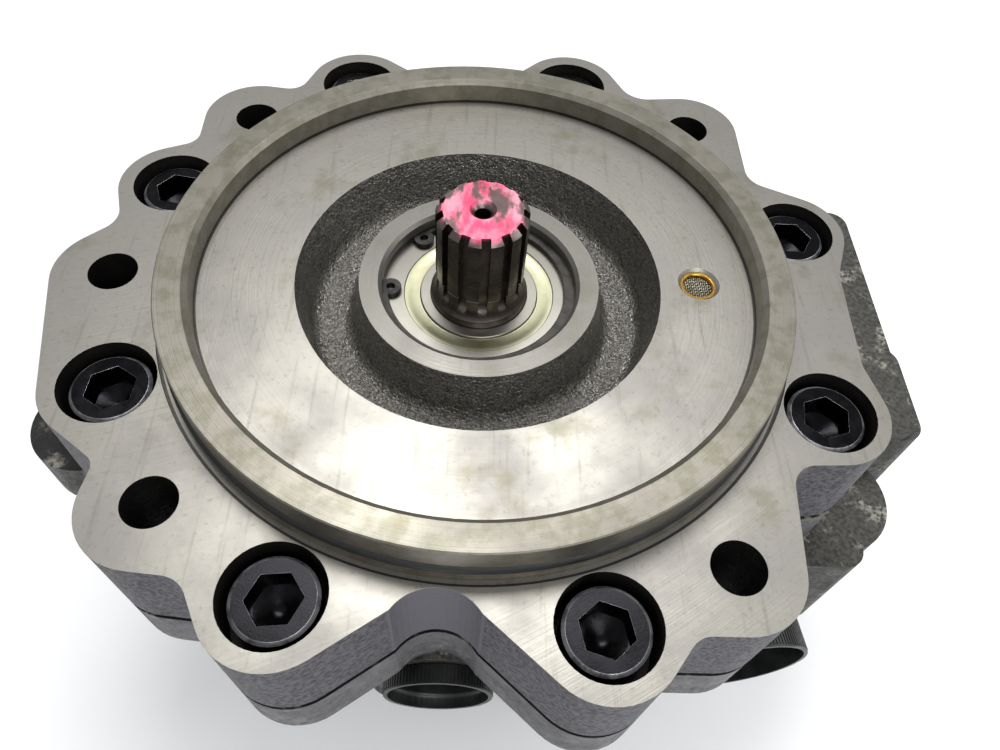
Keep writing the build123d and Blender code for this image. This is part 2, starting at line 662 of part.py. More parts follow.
def socket_screw(radius, length, head_r, head_h, hex_af, hex_d):
    """Socket head cap screw with its head on top and the head's underside at level 0."""
    rim = head_r * 0.08
    screw = turned([(0, -length), (radius - 1, -length), (radius, 1 - length), (radius, 0),
                    (head_r, 0), (head_r, head_h - rim), (head_r - rim, head_h), (0, head_h)])
    screw -= hexagon(hex_af, head_h - hex_d, head_h + 1)
    cone_r = hex_af / 2
    screw -= turned([(0, head_h - hex_d - cone_r / 2), (cone_r, head_h - hex_d), (0, head_h - hex_d)])
    return screw


def casing_screws():
    """Eight socket screws that clamp the front casing to the main housing."""
    screw = socket_screw(SCREW_R, SCREW_LENGTH, SCREW_HEAD_R, SCREW_HEAD_H, SCREW_HEX_AF, SCREW_HEX_D)
    screws = []
    for i, angle in enumerate(SCREW_ANGLES):
        spot = polar(angle, SCREW_CIRCLE_R)
        screws.append(Pos(spot.X, spot.Y, -COUNTERBORE_D) * Rot(0, 0, SCREW_BASE_TURN * i) * screw)
    return Compound(children=screws)


def rear_cover_screws():
    """Eight socket screws that hold the rear cover, heads down."""
    screw = socket_screw(COVER_SCREW_R, COVER_SCREW_LENGTH, COVER_HEAD_R, COVER_HEAD_H,
                         COVER_HEX_AF, COVER_HEX_D)
    screw = Pos(0, 0, BOTTOM_Z + COVER_HEAD_H + COVER_HEAD_SINK) * Rot(180, 0, 0) * screw
    return Compound(children=around(COVER_SCREWS, screw, COVER_SCREW_START, COVER_SCREW_CIRCLE_R))


def dowel_pins():
    """Two pins that locate the casings on each other."""
    pins = []
    for angle in DOWEL_ANGLES:
        spot = polar(angle, DOWEL_CIRCLE_R)
        low, high = PARTING_Z - DOWEL_LENGTH / 2, PARTING_Z + DOWEL_LENGTH / 2
        pins.append(cylinder(DOWEL_R, low, high, spot.X, spot.Y))
    return Compound(children=pins)


def ring_seal(centre_r, cord_r, z):
    """O-ring of round cord."""
    return revolve(Plane.XZ * Pos(centre_r, z) * Circle(cord_r), Axis.Z)


def bearing_outer_ring():
    """Outer ring with its ball track and the step for the shield."""
    low, high, middle = BEARING_SEAT_Z, BEARING_Z, BEARING_Z - BEARING_W / 2
    land = BALL_PITCH_R + BALL_R * 0.72
    ring = turned([(land, low), (BEARING_R - FIT, low), (BEARING_R - FIT, high),
                   (SHIELD_OUTER_R, high), (SHIELD_OUTER_R, high - SHIELD_T - 2 * GAP),
                   (land, high - SHIELD_T - 2 * GAP)])
    return ring - Pos(0, 0, middle) * Torus(BALL_PITCH_R, BALL_R + RACE_CLEARANCE)


def bearing_inner_ring():
    """Inner ring with its ball track, on the shaft journal."""
    low, high, middle = BEARING_SEAT_Z, BEARING_Z, BEARING_Z - BEARING_W / 2
    land = BALL_PITCH_R - BALL_R * 0.95
    ring = turned([(JOURNAL_R + FIT / 2, low), (land, low), (land, high), (JOURNAL_R + FIT / 2, high)])
    return ring - Pos(0, 0, middle) * Torus(BALL_PITCH_R, BALL_R + RACE_CLEARANCE)


def bearing_balls():
    """Ball set on the pitch circle."""
    ball = Pos(0, 0, BEARING_Z - BEARING_W / 2) * Sphere(BALL_R)
    return Compound(children=around(BALL_COUNT, ball, 0, BALL_PITCH_R))


def bearing_cage():
    """Flat ribbon cage with a pocket round each ball."""
    z = BEARING_Z - BEARING_W / 2
    cage = turned([(BALL_PITCH_R - 1.5, z - 2.6), (BALL_PITCH_R + 1.5, z - 2.6),
                   (BALL_PITCH_R + 1.5, z + 2.6), (BALL_PITCH_R - 1.5, z + 2.6)])
    for pocket in around(BALL_COUNT, cylinder(BALL_R + GAP, z - 3, z + 3), 0, BALL_PITCH_R):
        cage -= pocket
    return cage


def bearing_shield():
    """Pressed shield over the balls, held in the outer ring."""
    top = BEARING_Z - 0.5
    bead = SHIELD_OUTER_R - 2.2
    return turned([(SHIELD_INNER_R, top - SHIELD_T - 0.5), (bead - 0.8, top - SHIELD_T - 0.5),
                   (bead, top - SHIELD_T), (SHIELD_OUTER_R - FIT, top - SHIELD_T), (SHIELD_OUTER_R - FIT, top),
                   (bead, top), (bead - 0.8, top - 0.5), (SHIELD_INNER_R, top - 0.5)])


def bearing_circlip():
    """Internal retaining ring: widest opposite its gap, with a lug and eye at each end."""
    outer = BEARING_R + CIRCLIP_GROOVE_D - 0.2
    gap = polar(CIRCLIP_GAP_ANGLE, 1)
    half = CIRCLIP_LUG_SPREAD / 2
    lug_circle_r = outer - CIRCLIP_LUG_R - 1.2
    shift = gap * CIRCLIP_OFFSET
    ring = Circle(outer) - Pos(shift.X, shift.Y) * Circle(outer - CIRCLIP_BAND)
    reach = 2 * outer
    a = polar(CIRCLIP_GAP_ANGLE - half, reach)
    b = polar(CIRCLIP_GAP_ANGLE + half, reach)
    ring -= make_face(Polyline((0, 0), (a.X, a.Y), (b.X, b.Y), close=True))
    for side in (-1, 1):
        spot = polar(CIRCLIP_GAP_ANGLE + side * half, lug_circle_r)
        ring += Pos(spot.X, spot.Y) * Circle(CIRCLIP_LUG_R)
    ring = ring & Circle(outer)
    for side in (-1, 1):
        spot = polar(CIRCLIP_GAP_ANGLE + side * half, lug_circle_r)
        ring -= Pos(spot.X, spot.Y) * Circle(CIRCLIP_EYE_R)
    return extrude(Pos(0, 0, BEARING_Z) * ring, CIRCLIP_T)


def shaft_seal():
    """Rotary lip seal between casing and shaft."""
    low = SEAL_SEAT_Z
    high = low + SHAFT_SEAL_W
    outer = SHAFT_SEAL_R - FIT
    lip = SEAL_JOURNAL_R + FIT
    return turned([(lip + 4, low), (outer, low), (outer, high), (outer - 3, high), (outer - 3, low + 3),
                   (lip + 4.5, low + 3), (lip + 3.5, high - 1), (lip + 1, high - 2), (lip, high - 4),
                   (lip + 1.6, low + 2)])


def vent_filter_ring():
    """Brass ring pressed in the vent hole."""
    top = RECESS_Z - VENT_RECESS
    outer = VENT_R - FIT
    inner = VENT_R - VENT_RING_T
    ring = turned([(inner, top - VENT_RING_H), (outer, top - VENT_RING_H), (outer, top),
                   (inner + 0.5, top), (inner, top - 0.5)])
    return Pos(VENT_X, 0, 0) * ring


def vent_filter_mesh():
    """Wire mesh disc inside the brass ring."""
    top = RECESS_Z - VENT_RECESS - 1.6
    return cylinder(VENT_R - VENT_RING_T - FIT, top - VENT_MESH_T, top, VENT_X)


def drive_shaft():
    """Shaft with a splined end, bearing and seal journals, drive keys and rear journal."""
    shoulder = JOURNAL_R - NECK_R
    journal_top = NECK_TOP_Z - sqrt(2 * NECK_ARC_R * shoulder - shoulder ** 2)
    seal_end = BEARING_SEAT_Z - SEAL_JOURNAL_LENGTH
    drive_end = COVER_Z + 1
    rear_end = COVER_Z - REAR_JOURNAL_LENGTH + 1
    tip = TIP_Z
    shaft = turned([
        (0, rear_end), (REAR_JOURNAL_R - 1, rear_end), (REAR_JOURNAL_R, rear_end + 1),
        (REAR_JOURNAL_R, drive_end), (DRIVE_R, drive_end + 6), (DRIVE_R, seal_end),
        (SEAL_JOURNAL_R, seal_end + 2), (SEAL_JOURNAL_R, BEARING_SEAT_Z), (JOURNAL_R, BEARING_SEAT_Z),
        (JOURNAL_R, journal_top), (NECK_R, journal_top), (NECK_R, SPLINE_FOOT_Z - SPLINE_FOOT_CHAMFER),
        (SPLINE_R, SPLINE_FOOT_Z), (SPLINE_R, tip - SHAFT_CHAMFER),
        (SPLINE_R - SHAFT_CHAMFER, tip), (COUNTERSINK_R, tip),
        (CENTRE_HOLE_R, tip - (COUNTERSINK_R - CENTRE_HOLE_R)), (CENTRE_HOLE_R, tip - CENTRE_HOLE_DEPTH),
        (0, tip - CENTRE_HOLE_DEPTH - CENTRE_HOLE_R / 2)])
    neck = cylinder(JOURNAL_R, journal_top - 1, NECK_TOP_Z)
    shaft += neck - Pos(0, 0, NECK_TOP_Z) * Torus(NECK_R + NECK_ARC_R, NECK_ARC_R)
    root_r = SPLINE_R - SLOT_D
    slot = block((root_r, -SLOT_W / 2, SLOT_END_Z), (SPLINE_R + 2, SLOT_W / 2, tip + 1))
    run_out = Pos(root_r + CUTTER_R, 0, SLOT_END_Z) * Rot(90, 0, 0) * Cylinder(CUTTER_R, SLOT_W)
    for cut in around(SPLINE_TEETH, slot, SPLINE_START_ANGLE):
        shaft -= cut
    for cut in around(SPLINE_TEETH, run_out, SPLINE_START_ANGLE):
        shaft -= cut
    keys_low, keys_high = BLOCK_Z - BLOCK_LENGTH + 8, BLOCK_Z - 6
    for key in around(DRIVE_SLOTS, cylinder(DRIVE_KEY_R, keys_low, keys_high), 0, DRIVE_R):
        shaft += key
    return shaft


def cylinder_block():
    """Rotating block with its piston bores, kidney ports and brake grooves."""
    low = BLOCK_Z - BLOCK_LENGTH
    spring_r = CENTRE_SPRING_R + CENTRE_SPRING_WIRE / 2 + 0.4
    spring_floor = BLOCK_Z - SPRING_ROOM
    body = turned([
        (DRIVE_R + FIT, low), (BLOCK_R - 4, low), (BLOCK_R, low + 4), (BLOCK_R, BLOCK_Z - 3),
        (BLOCK_R - 3, BLOCK_Z), (spring_r, BLOCK_Z), (spring_r, spring_floor), (DRIVE_R + FIT, spring_floor)])
    for slot in around(DRIVE_SLOTS, cylinder(DRIVE_KEY_R + FIT, low - 1, BLOCK_Z + 1), 0, DRIVE_R):
        body -= slot
    for bore in around(PISTON_COUNT, cylinder(PISTON_R + FIT, BLOCK_Z - BLOCK_BORE_DEPTH, BLOCK_Z + 1),
                       0, PISTON_PITCH_R):
        body -= bore
    for port in around(PISTON_COUNT, cylinder(KIDNEY_R, low - 1, BLOCK_Z - BLOCK_BORE_DEPTH + 1),
                       0, PISTON_PITCH_R):
        body -= port
    groove_top = PLATE_STOP_Z + 1
    groove_low = BRAKE_PISTON_Z - 4
    for groove in around(TAB_COUNT, cylinder(TAB_R, groove_low, groove_top), TAB_START, BLOCK_R):
        body -= groove
    return body


def piston():
    """Hollow piston with a ball end, on its own axis at its place in the rotor."""
    ball = Pos(0, 0, BALL_CENTRE_Z) * Sphere(PISTON_BALL_R)
    shoulder = BALL_CENTRE_Z - PISTON_BALL_R - 1
    low = shoulder - PISTON_LENGTH
    body = turned([
        (0, BALL_CENTRE_Z - 2), (PISTON_NECK_R, BALL_CENTRE_Z - 2), (PISTON_NECK_R, shoulder),
        (PISTON_R - 1.5, shoulder - 1.5), (PISTON_R, shoulder - 4), (PISTON_R, low),
        (PISTON_HOLLOW_R, low), (PISTON_HOLLOW_R, shoulder - 12), (0, shoulder - 15)])
    return ball + body


def slippers():
    """Nine slippers: sole, neck and the socket that holds the piston's ball."""
    low = SHOE_Z - SHOE_H - 1
    slipper = turned([
        (0, SHOE_Z - 0.8), (SHOE_R - 4, SHOE_Z - 0.8), (SHOE_R - 4, SHOE_Z), (SHOE_R, SHOE_Z),
        (SHOE_R, SHOE_Z - SHOE_T), (SHOE_NECK_R, SHOE_Z - SHOE_T), (SHOE_NECK_R, low + 1),
        (SHOE_NECK_R - 1, low), (0, low)])
    slipper -= Pos(0, 0, BALL_CENTRE_Z) * Sphere(PISTON_BALL_R + FIT)
    return Compound(children=around(PISTON_COUNT, slipper, 0, PISTON_PITCH_R))


def retainer_plate():
    """Plate that holds the slippers by their soles, with a spherical middle."""
    plate = turned([(GUIDE_R - 3, RETAINER_Z - RETAINER_T), (RETAINER_R, RETAINER_Z - RETAINER_T),
                    (RETAINER_R, RETAINER_Z), (GUIDE_R - 6, RETAINER_Z)])
    for hole in around(PISTON_COUNT, cylinder(SHOE_NECK_R + GAP, RETAINER_Z - RETAINER_T - 1, RETAINER_Z + 1),
                       0, PISTON_PITCH_R):
        plate -= hole
    return plate


def ball_guide():
    """Domed guide under the retainer, pushed up by the centre spring."""
    top = RETAINER_Z - 1
    dome = Pos(0, 0, top - GUIDE_R + 3) * Sphere(GUIDE_R)
    keep = cylinder(GUIDE_R - 1, top - GUIDE_H, top)
    guide = dome & keep
    guide -= cylinder(DRIVE_R + GAP, top - 30, top + 1)
    guide -= plate_clearance()
    return guide


def plate_clearance():
    """Cone that keeps the guide's dome off the retainer's sloped middle."""
    low = RETAINER_Z - RETAINER_T - GAP
    return turned([(GUIDE_R - 6 - GAP, RETAINER_Z), (GUIDE_R + 4, RETAINER_Z), (GUIDE_R + 4, low),
                   (GUIDE_R - 3 - GAP, low)])


def swash_plate():
    """Wedge with a sloping face that the slippers run on."""
    middle = SWASH_SEAT_Z - SWASH_T
    body = cylinder(SWASH_R, middle - 30, SWASH_SEAT_Z)
    below = Pos(0, 0, middle) * Rot(SWASH_ANGLE, 0, 0) * Pos(0, 0, -50) * Box(300, 300, 100)
    body -= below
    body -= cylinder(SWASH_HOLE_R, middle - 40, SWASH_SEAT_Z + 1)
    return body


def valve_plate():
    """Port plate with two kidney slots between block and rear cover."""
    plate = Circle(VALVE_PLATE_R) - Circle(DRIVE_R + 2)
    for start in (-62, 118):
        slot = SlotArc(CenterArc((0, 0), PISTON_PITCH_R, start, 124), 2 * KIDNEY_R)
        plate -= slot
    return extrude(Pos(0, 0, COVER_Z) * plate, VALVE_PLATE_T)


def rear_bearing():
    """Drawn cup of the rear needle bearing."""
    low = COVER_Z - REAR_JOURNAL_LENGTH
    inner, outer = REAR_JOURNAL_R + FIT, REAR_BEARING_R - FIT
    return turned([(inner, low), (outer, low), (outer, COVER_Z - 2), (inner, COVER_Z - 2)])


def plate_level(index):
    """Upper face of the brake plate at a place in the stack."""
    return PLATE_STOP_Z - index * (PLATE_T + PLATE_GAP)


def friction_plates():
    """Lined plates that turn with the block, keyed by round tabs in its grooves."""
    plates = []
    for i in range(FRICTION_COUNT):
        high = plate_level(2 * i + 1)
        plate = cylinder(FRICTION_R, high - PLATE_T, high)
        plate -= cylinder(BLOCK_R + GAP, high - PLATE_T - 1, high + 1)
        for tab in around(TAB_COUNT, cylinder(TAB_R - GAP, high - PLATE_T, high), TAB_START, BLOCK_R):
            plate += tab
        plates.append(plate)
    return Compound(children=plates)


def separator_plates():
    """Steel plates keyed in the housing, between the lined ones."""
    plates = []
    for i in range(FRICTION_COUNT + 1):
        high = plate_level(2 * i)
        plate = cylinder(PLATE_BORE_R - GAP, high - PLATE_T, high)
        plate -= cylinder(SEPARATOR_INNER_R, high - PLATE_T - 1, high + 1)
        for tab in around(TAB_COUNT // 2, cylinder(TAB_R, high - PLATE_T, high), 0, PLATE_BORE_R):
            plate += tab
        plates.append(plate)
    return Compound(children=plates)


def brake_piston():
    """Stepped ring piston that squeezes the plates, with a groove for each seal."""
    high = BRAKE_PISTON_Z
    low = high - BRAKE_PISTON_LENGTH
    flange_z = low + BRAKE_FLANGE_T
    neck_r = PLATE_BORE_R - FIT
    skirt_r = PISTON_BORE_R - FIT
    piston_ring = turned([(BRAKE_PISTON_INNER_R, low), (skirt_r, low), (skirt_r, flange_z), (neck_r, flange_z),
                          (neck_r, high), (BRAKE_PISTON_INNER_R, high)])
    for r, z in brake_seal_places():
        root_r = r - BRAKE_SEAL_D
        piston_ring -= turned([(root_r, z), (r + 1, z), (r + 1, z + BRAKE_SEAL_W), (root_r, z + BRAKE_SEAL_W)])
    return piston_ring


def brake_seal_places():
    """Radius and lower level of the two seal grooves on the brake piston."""
    low = BRAKE_PISTON_Z - BRAKE_PISTON_LENGTH
    return [(PISTON_BORE_R - FIT, low + 4), (PLATE_BORE_R - FIT, low + BRAKE_FLANGE_T + 6)]


def brake_seals():
    """Two square section rings on the brake piston."""
    rings = []
    for r, z in brake_seal_places():
        low, high = z + 0.1, z + BRAKE_SEAL_W - 0.1
        inner, outer = r - BRAKE_SEAL_D + 0.1, r - 0.02
        rings.append(turned([(inner, low), (outer, low), (outer, high), (inner, high)]))
    return Compound(children=rings)


def brake_disc_springs():
    """Two disc springs, rim to rim, that push the brake piston against the plates."""
    low = COVER_Z
    high = BRAKE_PISTON_Z - BRAKE_PISTON_LENGTH
    half = (high - low) / 2
    rise = half - DISC_SPRING_T
    lower = turned([(DISC_SPRING_INNER_R, low), (DISC_SPRING_OUTER_R, low + rise),
                    (DISC_SPRING_OUTER_R, low + half), (DISC_SPRING_INNER_R, low + DISC_SPRING_T)])
    middle = low + half
    upper = turned([(DISC_SPRING_INNER_R, high), (DISC_SPRING_OUTER_R, high - rise),
                    (DISC_SPRING_OUTER_R, middle), (DISC_SPRING_INNER_R, high - DISC_SPRING_T)])
    return Compound(children=[lower, upper])


def port_cap(cap_r, reach, face, out):
    """Hollow plug: ribbed skirt outside the port and a closed end inside it."""
    plug_r = cap_plug_r(cap_r)
    inner = plug_r - CAP_WALL
    profile = [(0, -CAP_PLUG_DEPTH), (plug_r, -CAP_PLUG_DEPTH), (plug_r, GAP), (cap_r, GAP), (cap_r, reach),
               (cap_r - CAP_WALL, reach), (cap_r - CAP_WALL, 2 * CAP_LEDGE), (inner, CAP_LEDGE),
               (inner, CAP_WALL - CAP_PLUG_DEPTH), (0, CAP_WALL - CAP_PLUG_DEPTH)]
    return turned_along(profile, face, out)


def relief_body(side):
    """Relief valve cartridge: hexagon outside the cover and a sleeve inside it."""
    mouth, out = relief_axis(side)
    inner = RELIEF_R - RELIEF_WALL
    seat = RELIEF_END_WALL - RELIEF_LENGTH
    body = turned([(POPPET_SEAT_R, -RELIEF_LENGTH), (RELIEF_R, -RELIEF_LENGTH), (RELIEF_R, 0), (0, 0),
                   (0, -RELIEF_CAP_T), (inner, -RELIEF_CAP_T), (inner, seat), (POPPET_SEAT_R, seat)])
    body += hexagon(RELIEF_HEX_AF, 0, RELIEF_HEX_H)
    body += cylinder(RELIEF_R - 3, RELIEF_HEX_H, RELIEF_HEX_H + RELIEF_STUB_H)
    return Plane(origin=mouth, z_dir=out) * body


def relief_poppet(side):
    """Cone nosed poppet that closes the relief valve's seat."""
    mouth, out = relief_axis(side)
    seat = RELIEF_END_WALL - RELIEF_LENGTH
    nose_r = POPPET_SEAT_R - 0.5
    body = turned([(0, seat - 2), (nose_r - 1, seat - 2), (nose_r, seat + GAP), (POPPET_R, seat + 4),
                   (POPPET_R, seat + POPPET_LENGTH), (0, seat + POPPET_LENGTH)])
    return Plane(origin=mouth, z_dir=out) * body


def relief_spring(side):
    """Spring between the poppet and the cartridge's end."""
    mouth, out = relief_axis(side)
    low = RELIEF_END_WALL - RELIEF_LENGTH + POPPET_LENGTH
    body = coil(POPPET_R - 2, VALVE_SPRING_WIRE, low, -RELIEF_CAP_T, VALVE_SPRING_TURNS)
    return Plane(origin=mouth, z_dir=out) * body


def check_plug(side):
    """Screwed plug that closes a check valve bore from below."""
    mouth, out = check_axis(side)
    body = turned([(0, -CHECK_PLUG_H), (CHECK_R, -CHECK_PLUG_H), (CHECK_R, -CHECK_PLUG_SINK),
                   (0, -CHECK_PLUG_SINK)])
    body -= hexagon(CHECK_PLUG_HEX, -CHECK_HEX_DEPTH, 0)
    return Plane(origin=mouth, z_dir=out) * body


def check_poppet(side):
    """Mushroom poppet of a make-up check valve, resting on its seat at the bore's end."""
    mouth, out = check_axis(side)
    seat = -CHECK_DEPTH
    body = turned([(0, seat), (CHECK_POPPET_R - 3, seat), (CHECK_POPPET_R, seat + 3),
                   (CHECK_POPPET_R, seat + CHECK_HEAD_H - 1), (CHECK_STEM_R, seat + CHECK_HEAD_H),
                   (CHECK_STEM_R, seat + CHECK_POPPET_H),
                   (0, seat + CHECK_POPPET_H)])
    return Plane(origin=mouth, z_dir=out) * body


def check_spring(side):
    """Light spring round the stem of a check poppet."""
    mouth, out = check_axis(side)
    low = CHECK_HEAD_H + GAP - CHECK_DEPTH
    body = coil(CHECK_SPRING_R, VALVE_SPRING_WIRE, low, -CHECK_PLUG_H, VALVE_SPRING_TURNS)
    return Plane(origin=mouth, z_dir=out) * body


def centre_spring():
    """Spring in the block's bore that lifts the ball guide."""
    low = BLOCK_Z - SPRING_ROOM
    high = RETAINER_Z - 1 - GUIDE_H
    return coil(CENTRE_SPRING_R, CENTRE_SPRING_WIRE, low, high, CENTRE_SPRING_TURNS)


def casing_seal():
    """O-ring between front casing and main housing."""
    return ring_seal(PLATE_BORE_R + CASING_SEAL_OFFSET, CASING_SEAL_CORD_R, PARTING_Z + CASING_SEAL_CORD_R)


def rear_seal():
    """O-ring between main housing and rear cover."""
    return ring_seal(PISTON_BORE_R + REAR_SEAL_OFFSET, REAR_SEAL_CORD_R, COVER_Z - REAR_SEAL_CORD_R)


def register_seal():
    """O-ring in the groove round the register ring."""
    centre_r = REGISTER_R - SEAL_GROOVE_D + SEAL_CORD_R + FIT
    return ring_seal(centre_r, SEAL_CORD_R, SEAL_GROOVE_Z + SEAL_GROOVE_W / 2)


def save(name, solid):
    """Write one named piece."""
    export_step(solid, "parts/" + name + ".step")


save("front_casing", front_casing())
save("main_housing", main_housing())
save("rear_cover", rear_cover())
save("casing_screws", casing_screws())
save("rear_cover_screws", rear_cover_screws())
save("dowel_pins", dowel_pins())
save("register_seal", register_seal())
save("casing_seal", casing_seal())
save("rear_seal", rear_seal())
save("bearing_outer_ring", bearing_outer_ring())
save("bearing_inner_ring", bearing_inner_ring())
save("bearing_balls", bearing_balls())
save("bearing_cage", bearing_cage())
save("bearing_shield", bearing_shield())
save("bearing_circlip", bearing_circlip())
save("shaft_seal", shaft_seal())
save("vent_filter_ring", vent_filter_ring())
save("vent_filter_mesh", vent_filter_mesh())
save("drive_shaft", drive_shaft())
save("swash_plate", swash_plate())
save("cylinder_block", cylinder_block())
save("retainer_plate", retainer_plate())
save("ball_guide", ball_guide())
save("centre_spring", centre_spring())
save("valve_plate", valve_plate())
save("rear_bearing", rear_bearing())
save("friction_plates", friction_plates())
save("separator_plates", separator_plates())
save("brake_piston", brake_piston())
save("brake_seals", brake_seals())
save("brake_disc_springs", brake_disc_springs())
save("slippers", slippers())
for number, copy_of_piston in enumerate(around(PISTON_COUNT, piston(), 0, PISTON_PITCH_R), 1):
    save("piston_" + str(number), copy_of_piston)
save("port_cap_small", port_cap(SMALL_CAP_R, SMALL_CAP_REACH, *small_cap_frame()))
save("port_cap_large", port_cap(LARGE_CAP_R, LARGE_CAP_REACH, *large_cap_frame()))
for tag, side in (("left", -1), ("right", 1)):
    save("relief_body_" + tag, relief_body(side))
    save("relief_poppet_" + tag, relief_poppet(side))
    save("relief_spring_" + tag, relief_spring(side))
    save("check_plug_" + tag, check_plug(side))
    save("check_poppet_" + tag, check_poppet(side))
    save("check_spring_" + tag, check_spring(side))
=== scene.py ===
"""Looks of a hydraulic swing motor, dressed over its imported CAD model.

All lengths are in metres in the CAD model's frame: +Z runs along the shaft towards its splined end, and the
origin is level with the flange's mounting face.
"""
import logging
import math
from dataclasses import dataclass, field
from enum import Enum

import bmesh
import bpy
from mathutils import Matrix, Vector


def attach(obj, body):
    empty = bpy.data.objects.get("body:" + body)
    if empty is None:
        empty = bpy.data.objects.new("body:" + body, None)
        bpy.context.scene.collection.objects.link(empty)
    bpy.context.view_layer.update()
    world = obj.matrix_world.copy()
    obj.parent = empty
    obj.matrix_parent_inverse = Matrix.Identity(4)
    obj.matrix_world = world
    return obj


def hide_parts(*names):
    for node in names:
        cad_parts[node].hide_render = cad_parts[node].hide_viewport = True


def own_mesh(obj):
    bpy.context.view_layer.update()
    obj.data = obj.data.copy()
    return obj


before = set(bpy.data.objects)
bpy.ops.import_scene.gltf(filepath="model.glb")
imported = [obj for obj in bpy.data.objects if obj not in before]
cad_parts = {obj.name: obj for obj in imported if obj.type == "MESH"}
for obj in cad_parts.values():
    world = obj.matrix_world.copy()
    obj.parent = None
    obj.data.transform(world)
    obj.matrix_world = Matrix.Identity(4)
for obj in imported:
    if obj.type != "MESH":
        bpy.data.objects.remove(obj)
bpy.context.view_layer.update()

MM = 0.001
Tree = bpy.types.NodeTree
Socket = bpy.types.NodeSocket
log = logging.getLogger("swing_motor")


def linear(hex_colour: str) -> tuple[float, float, float, float]:
    """Turn an sRGB hex colour into linear red, green, blue and alpha.

    Args:
        hex_colour: six hex digits, with or without a leading hash.

    Returns:
        The linear colour with full alpha.
    """
    digits = hex_colour.lstrip("#")
    parts = [int(digits[i:i + 2], 16) / 255 for i in (0, 2, 4)]
    red, green, blue = (c / 12.92 if c <= 0.04045 else ((c + 0.055) / 1.055) ** 2.4 for c in parts)
    return red, green, blue, 1.0


NOISE = "ShaderNodeTexNoise"
RANGE = "ShaderNodeMapRange"
MATH = "ShaderNodeMath"
VECTOR = "ShaderNodeVectorMath"
MIX = "ShaderNodeMix"
SPLIT = "ShaderNodeSeparateXYZ"
COORDINATES = "ShaderNodeTexCoord"
RELIEF_STEP = 0.4 * MM


def add(tree: Tree, kind: str, sockets: dict | None = None, out: int | str = 0,
        **settings: object) -> Socket | None:
    """Add one node with its settings, constants and links.

    Args:
        tree: the node tree it goes into.
        kind: the node's type name.
        sockets: input name or number to a constant, or to the output socket that feeds it.
        out: name or number of the output that is handed back.
        **settings: the node's own properties.

    Returns:
        The chosen output socket, or None where the node has no output.
    """
    node = tree.nodes.new(kind)
    for key, value in settings.items():
        setattr(node, key, value)
    for key, value in (sockets or {}).items():
        if isinstance(value, Socket):
            tree.links.new(value, node.inputs[key])
        else:
            node.inputs[key].default_value = value
    return node.outputs[out] if node.outputs else None


class Zone(Enum):
    """Which way the tool marks of a machined surface run."""

    RINGS = "rings"
    SWEEP = "sweep"
    NONE = "none"


@dataclass(frozen=True)
class Finish:
    """A surface finish: two colours that mix in patches, a roughness range and a fine relief."""

    name: str
    slot: str
    colour: str
    patch: str
    metallic: float
    roughness: tuple[float, float]
    patch_mm: float = 30.0
    grain_mm: float = 1.0
    relief: float = 0.15
    marks: Zone = Zone.NONE
    mark_share: float = 0.7
    ior: float = 1.5

    def build(self) -> bpy.types.Material:
        """Make the material.

        Returns:
            The node based material.
        """
        material = bpy.data.materials.new(self.name)
        material.use_nodes = True
        tree = material.node_tree
        tree.nodes.clear()
        place = add(tree, COORDINATES, out="Object")
        colour, rough, height = self.surface(tree, place)
        bump = add(tree, "ShaderNodeBump", {"Height": height, "Strength": self.relief,
                                            "Distance": RELIEF_STEP})
        settings = {"Base Color": colour, "Roughness": rough, "Normal": bump, "Metallic": self.metallic}
        if self.metallic < 0.5:
            settings["IOR"] = self.ior
        shader = add(tree, "ShaderNodeBsdfPrincipled", settings)
        add(tree, "ShaderNodeOutputMaterial", {"Surface": shader})
        return material

    def surface(self, tree: Tree, place: Socket) -> tuple[Socket, Socket, Socket]:
        """Lay out colour, roughness and height.

        Args:
            tree: the material's tree.
            place: Object coordinates.

        Returns:
            Sockets for colour, roughness and height.
        """
        patchy = clouds(tree, place, self.patch_mm, band=(0.35, 0.7))
        colour = blend(tree, patchy, self.colour, self.patch)
        rough = clouds(tree, place, self.patch_mm, band=(0.3, 0.7), to=self.roughness)
        height = grain(tree, place, self.grain_mm)
        if self.marks is not Zone.NONE:
            lines = tool_marks(tree, place, self.marks)
            height = fade(tree, self.mark_share, height, lines)
        return colour, rough, height


def grain(tree: Tree, place: Socket, size_mm: float, detail: float = 3.0, roughness: float = 0.5) -> Socket:
    """Noise with blobs of a real size.

    Args:
        tree: the tree it goes into.
        place: the coordinates it reads, in metres.
        size_mm: the blobs' size.
        detail: how many finer octaves it has.
        roughness: how strong they are.

    Returns:
        The noise value.
    """
    sockets = {"Vector": place, "Scale": 1000.0 / size_mm, "Detail": detail, "Roughness": roughness}
    return add(tree, NOISE, sockets)


def times(tree: Tree, first: Socket, second: Socket | float) -> Socket:
    """Product of two values."""
    return add(tree, MATH, {0: first, 1: second}, operation="MULTIPLY")


def fade(tree: Tree, share: Socket | float, first: Socket | float, second: Socket | float) -> Socket:
    """Mix of two values, with a share of the second."""
    return add(tree, MIX, {0: share, 2: first, 3: second}, data_type="FLOAT")


def blend(tree: Tree, share: Socket, first: Socket | str, second: Socket | str) -> Socket:
    """Mix of two colours, given as sockets or hex colours, with a share of the second."""
    first, second = (linear(tint) if isinstance(tint, str) else tint for tint in (first, second))
    return add(tree, MIX, {0: share, 6: first, 7: second}, 2, data_type="RGBA")


def upwardness(tree: Tree) -> Socket:
    """How far a surface faces up, from -1 to 1."""
    return add(tree, SPLIT, {0: add(tree, COORDINATES, out="Normal")}, 2)


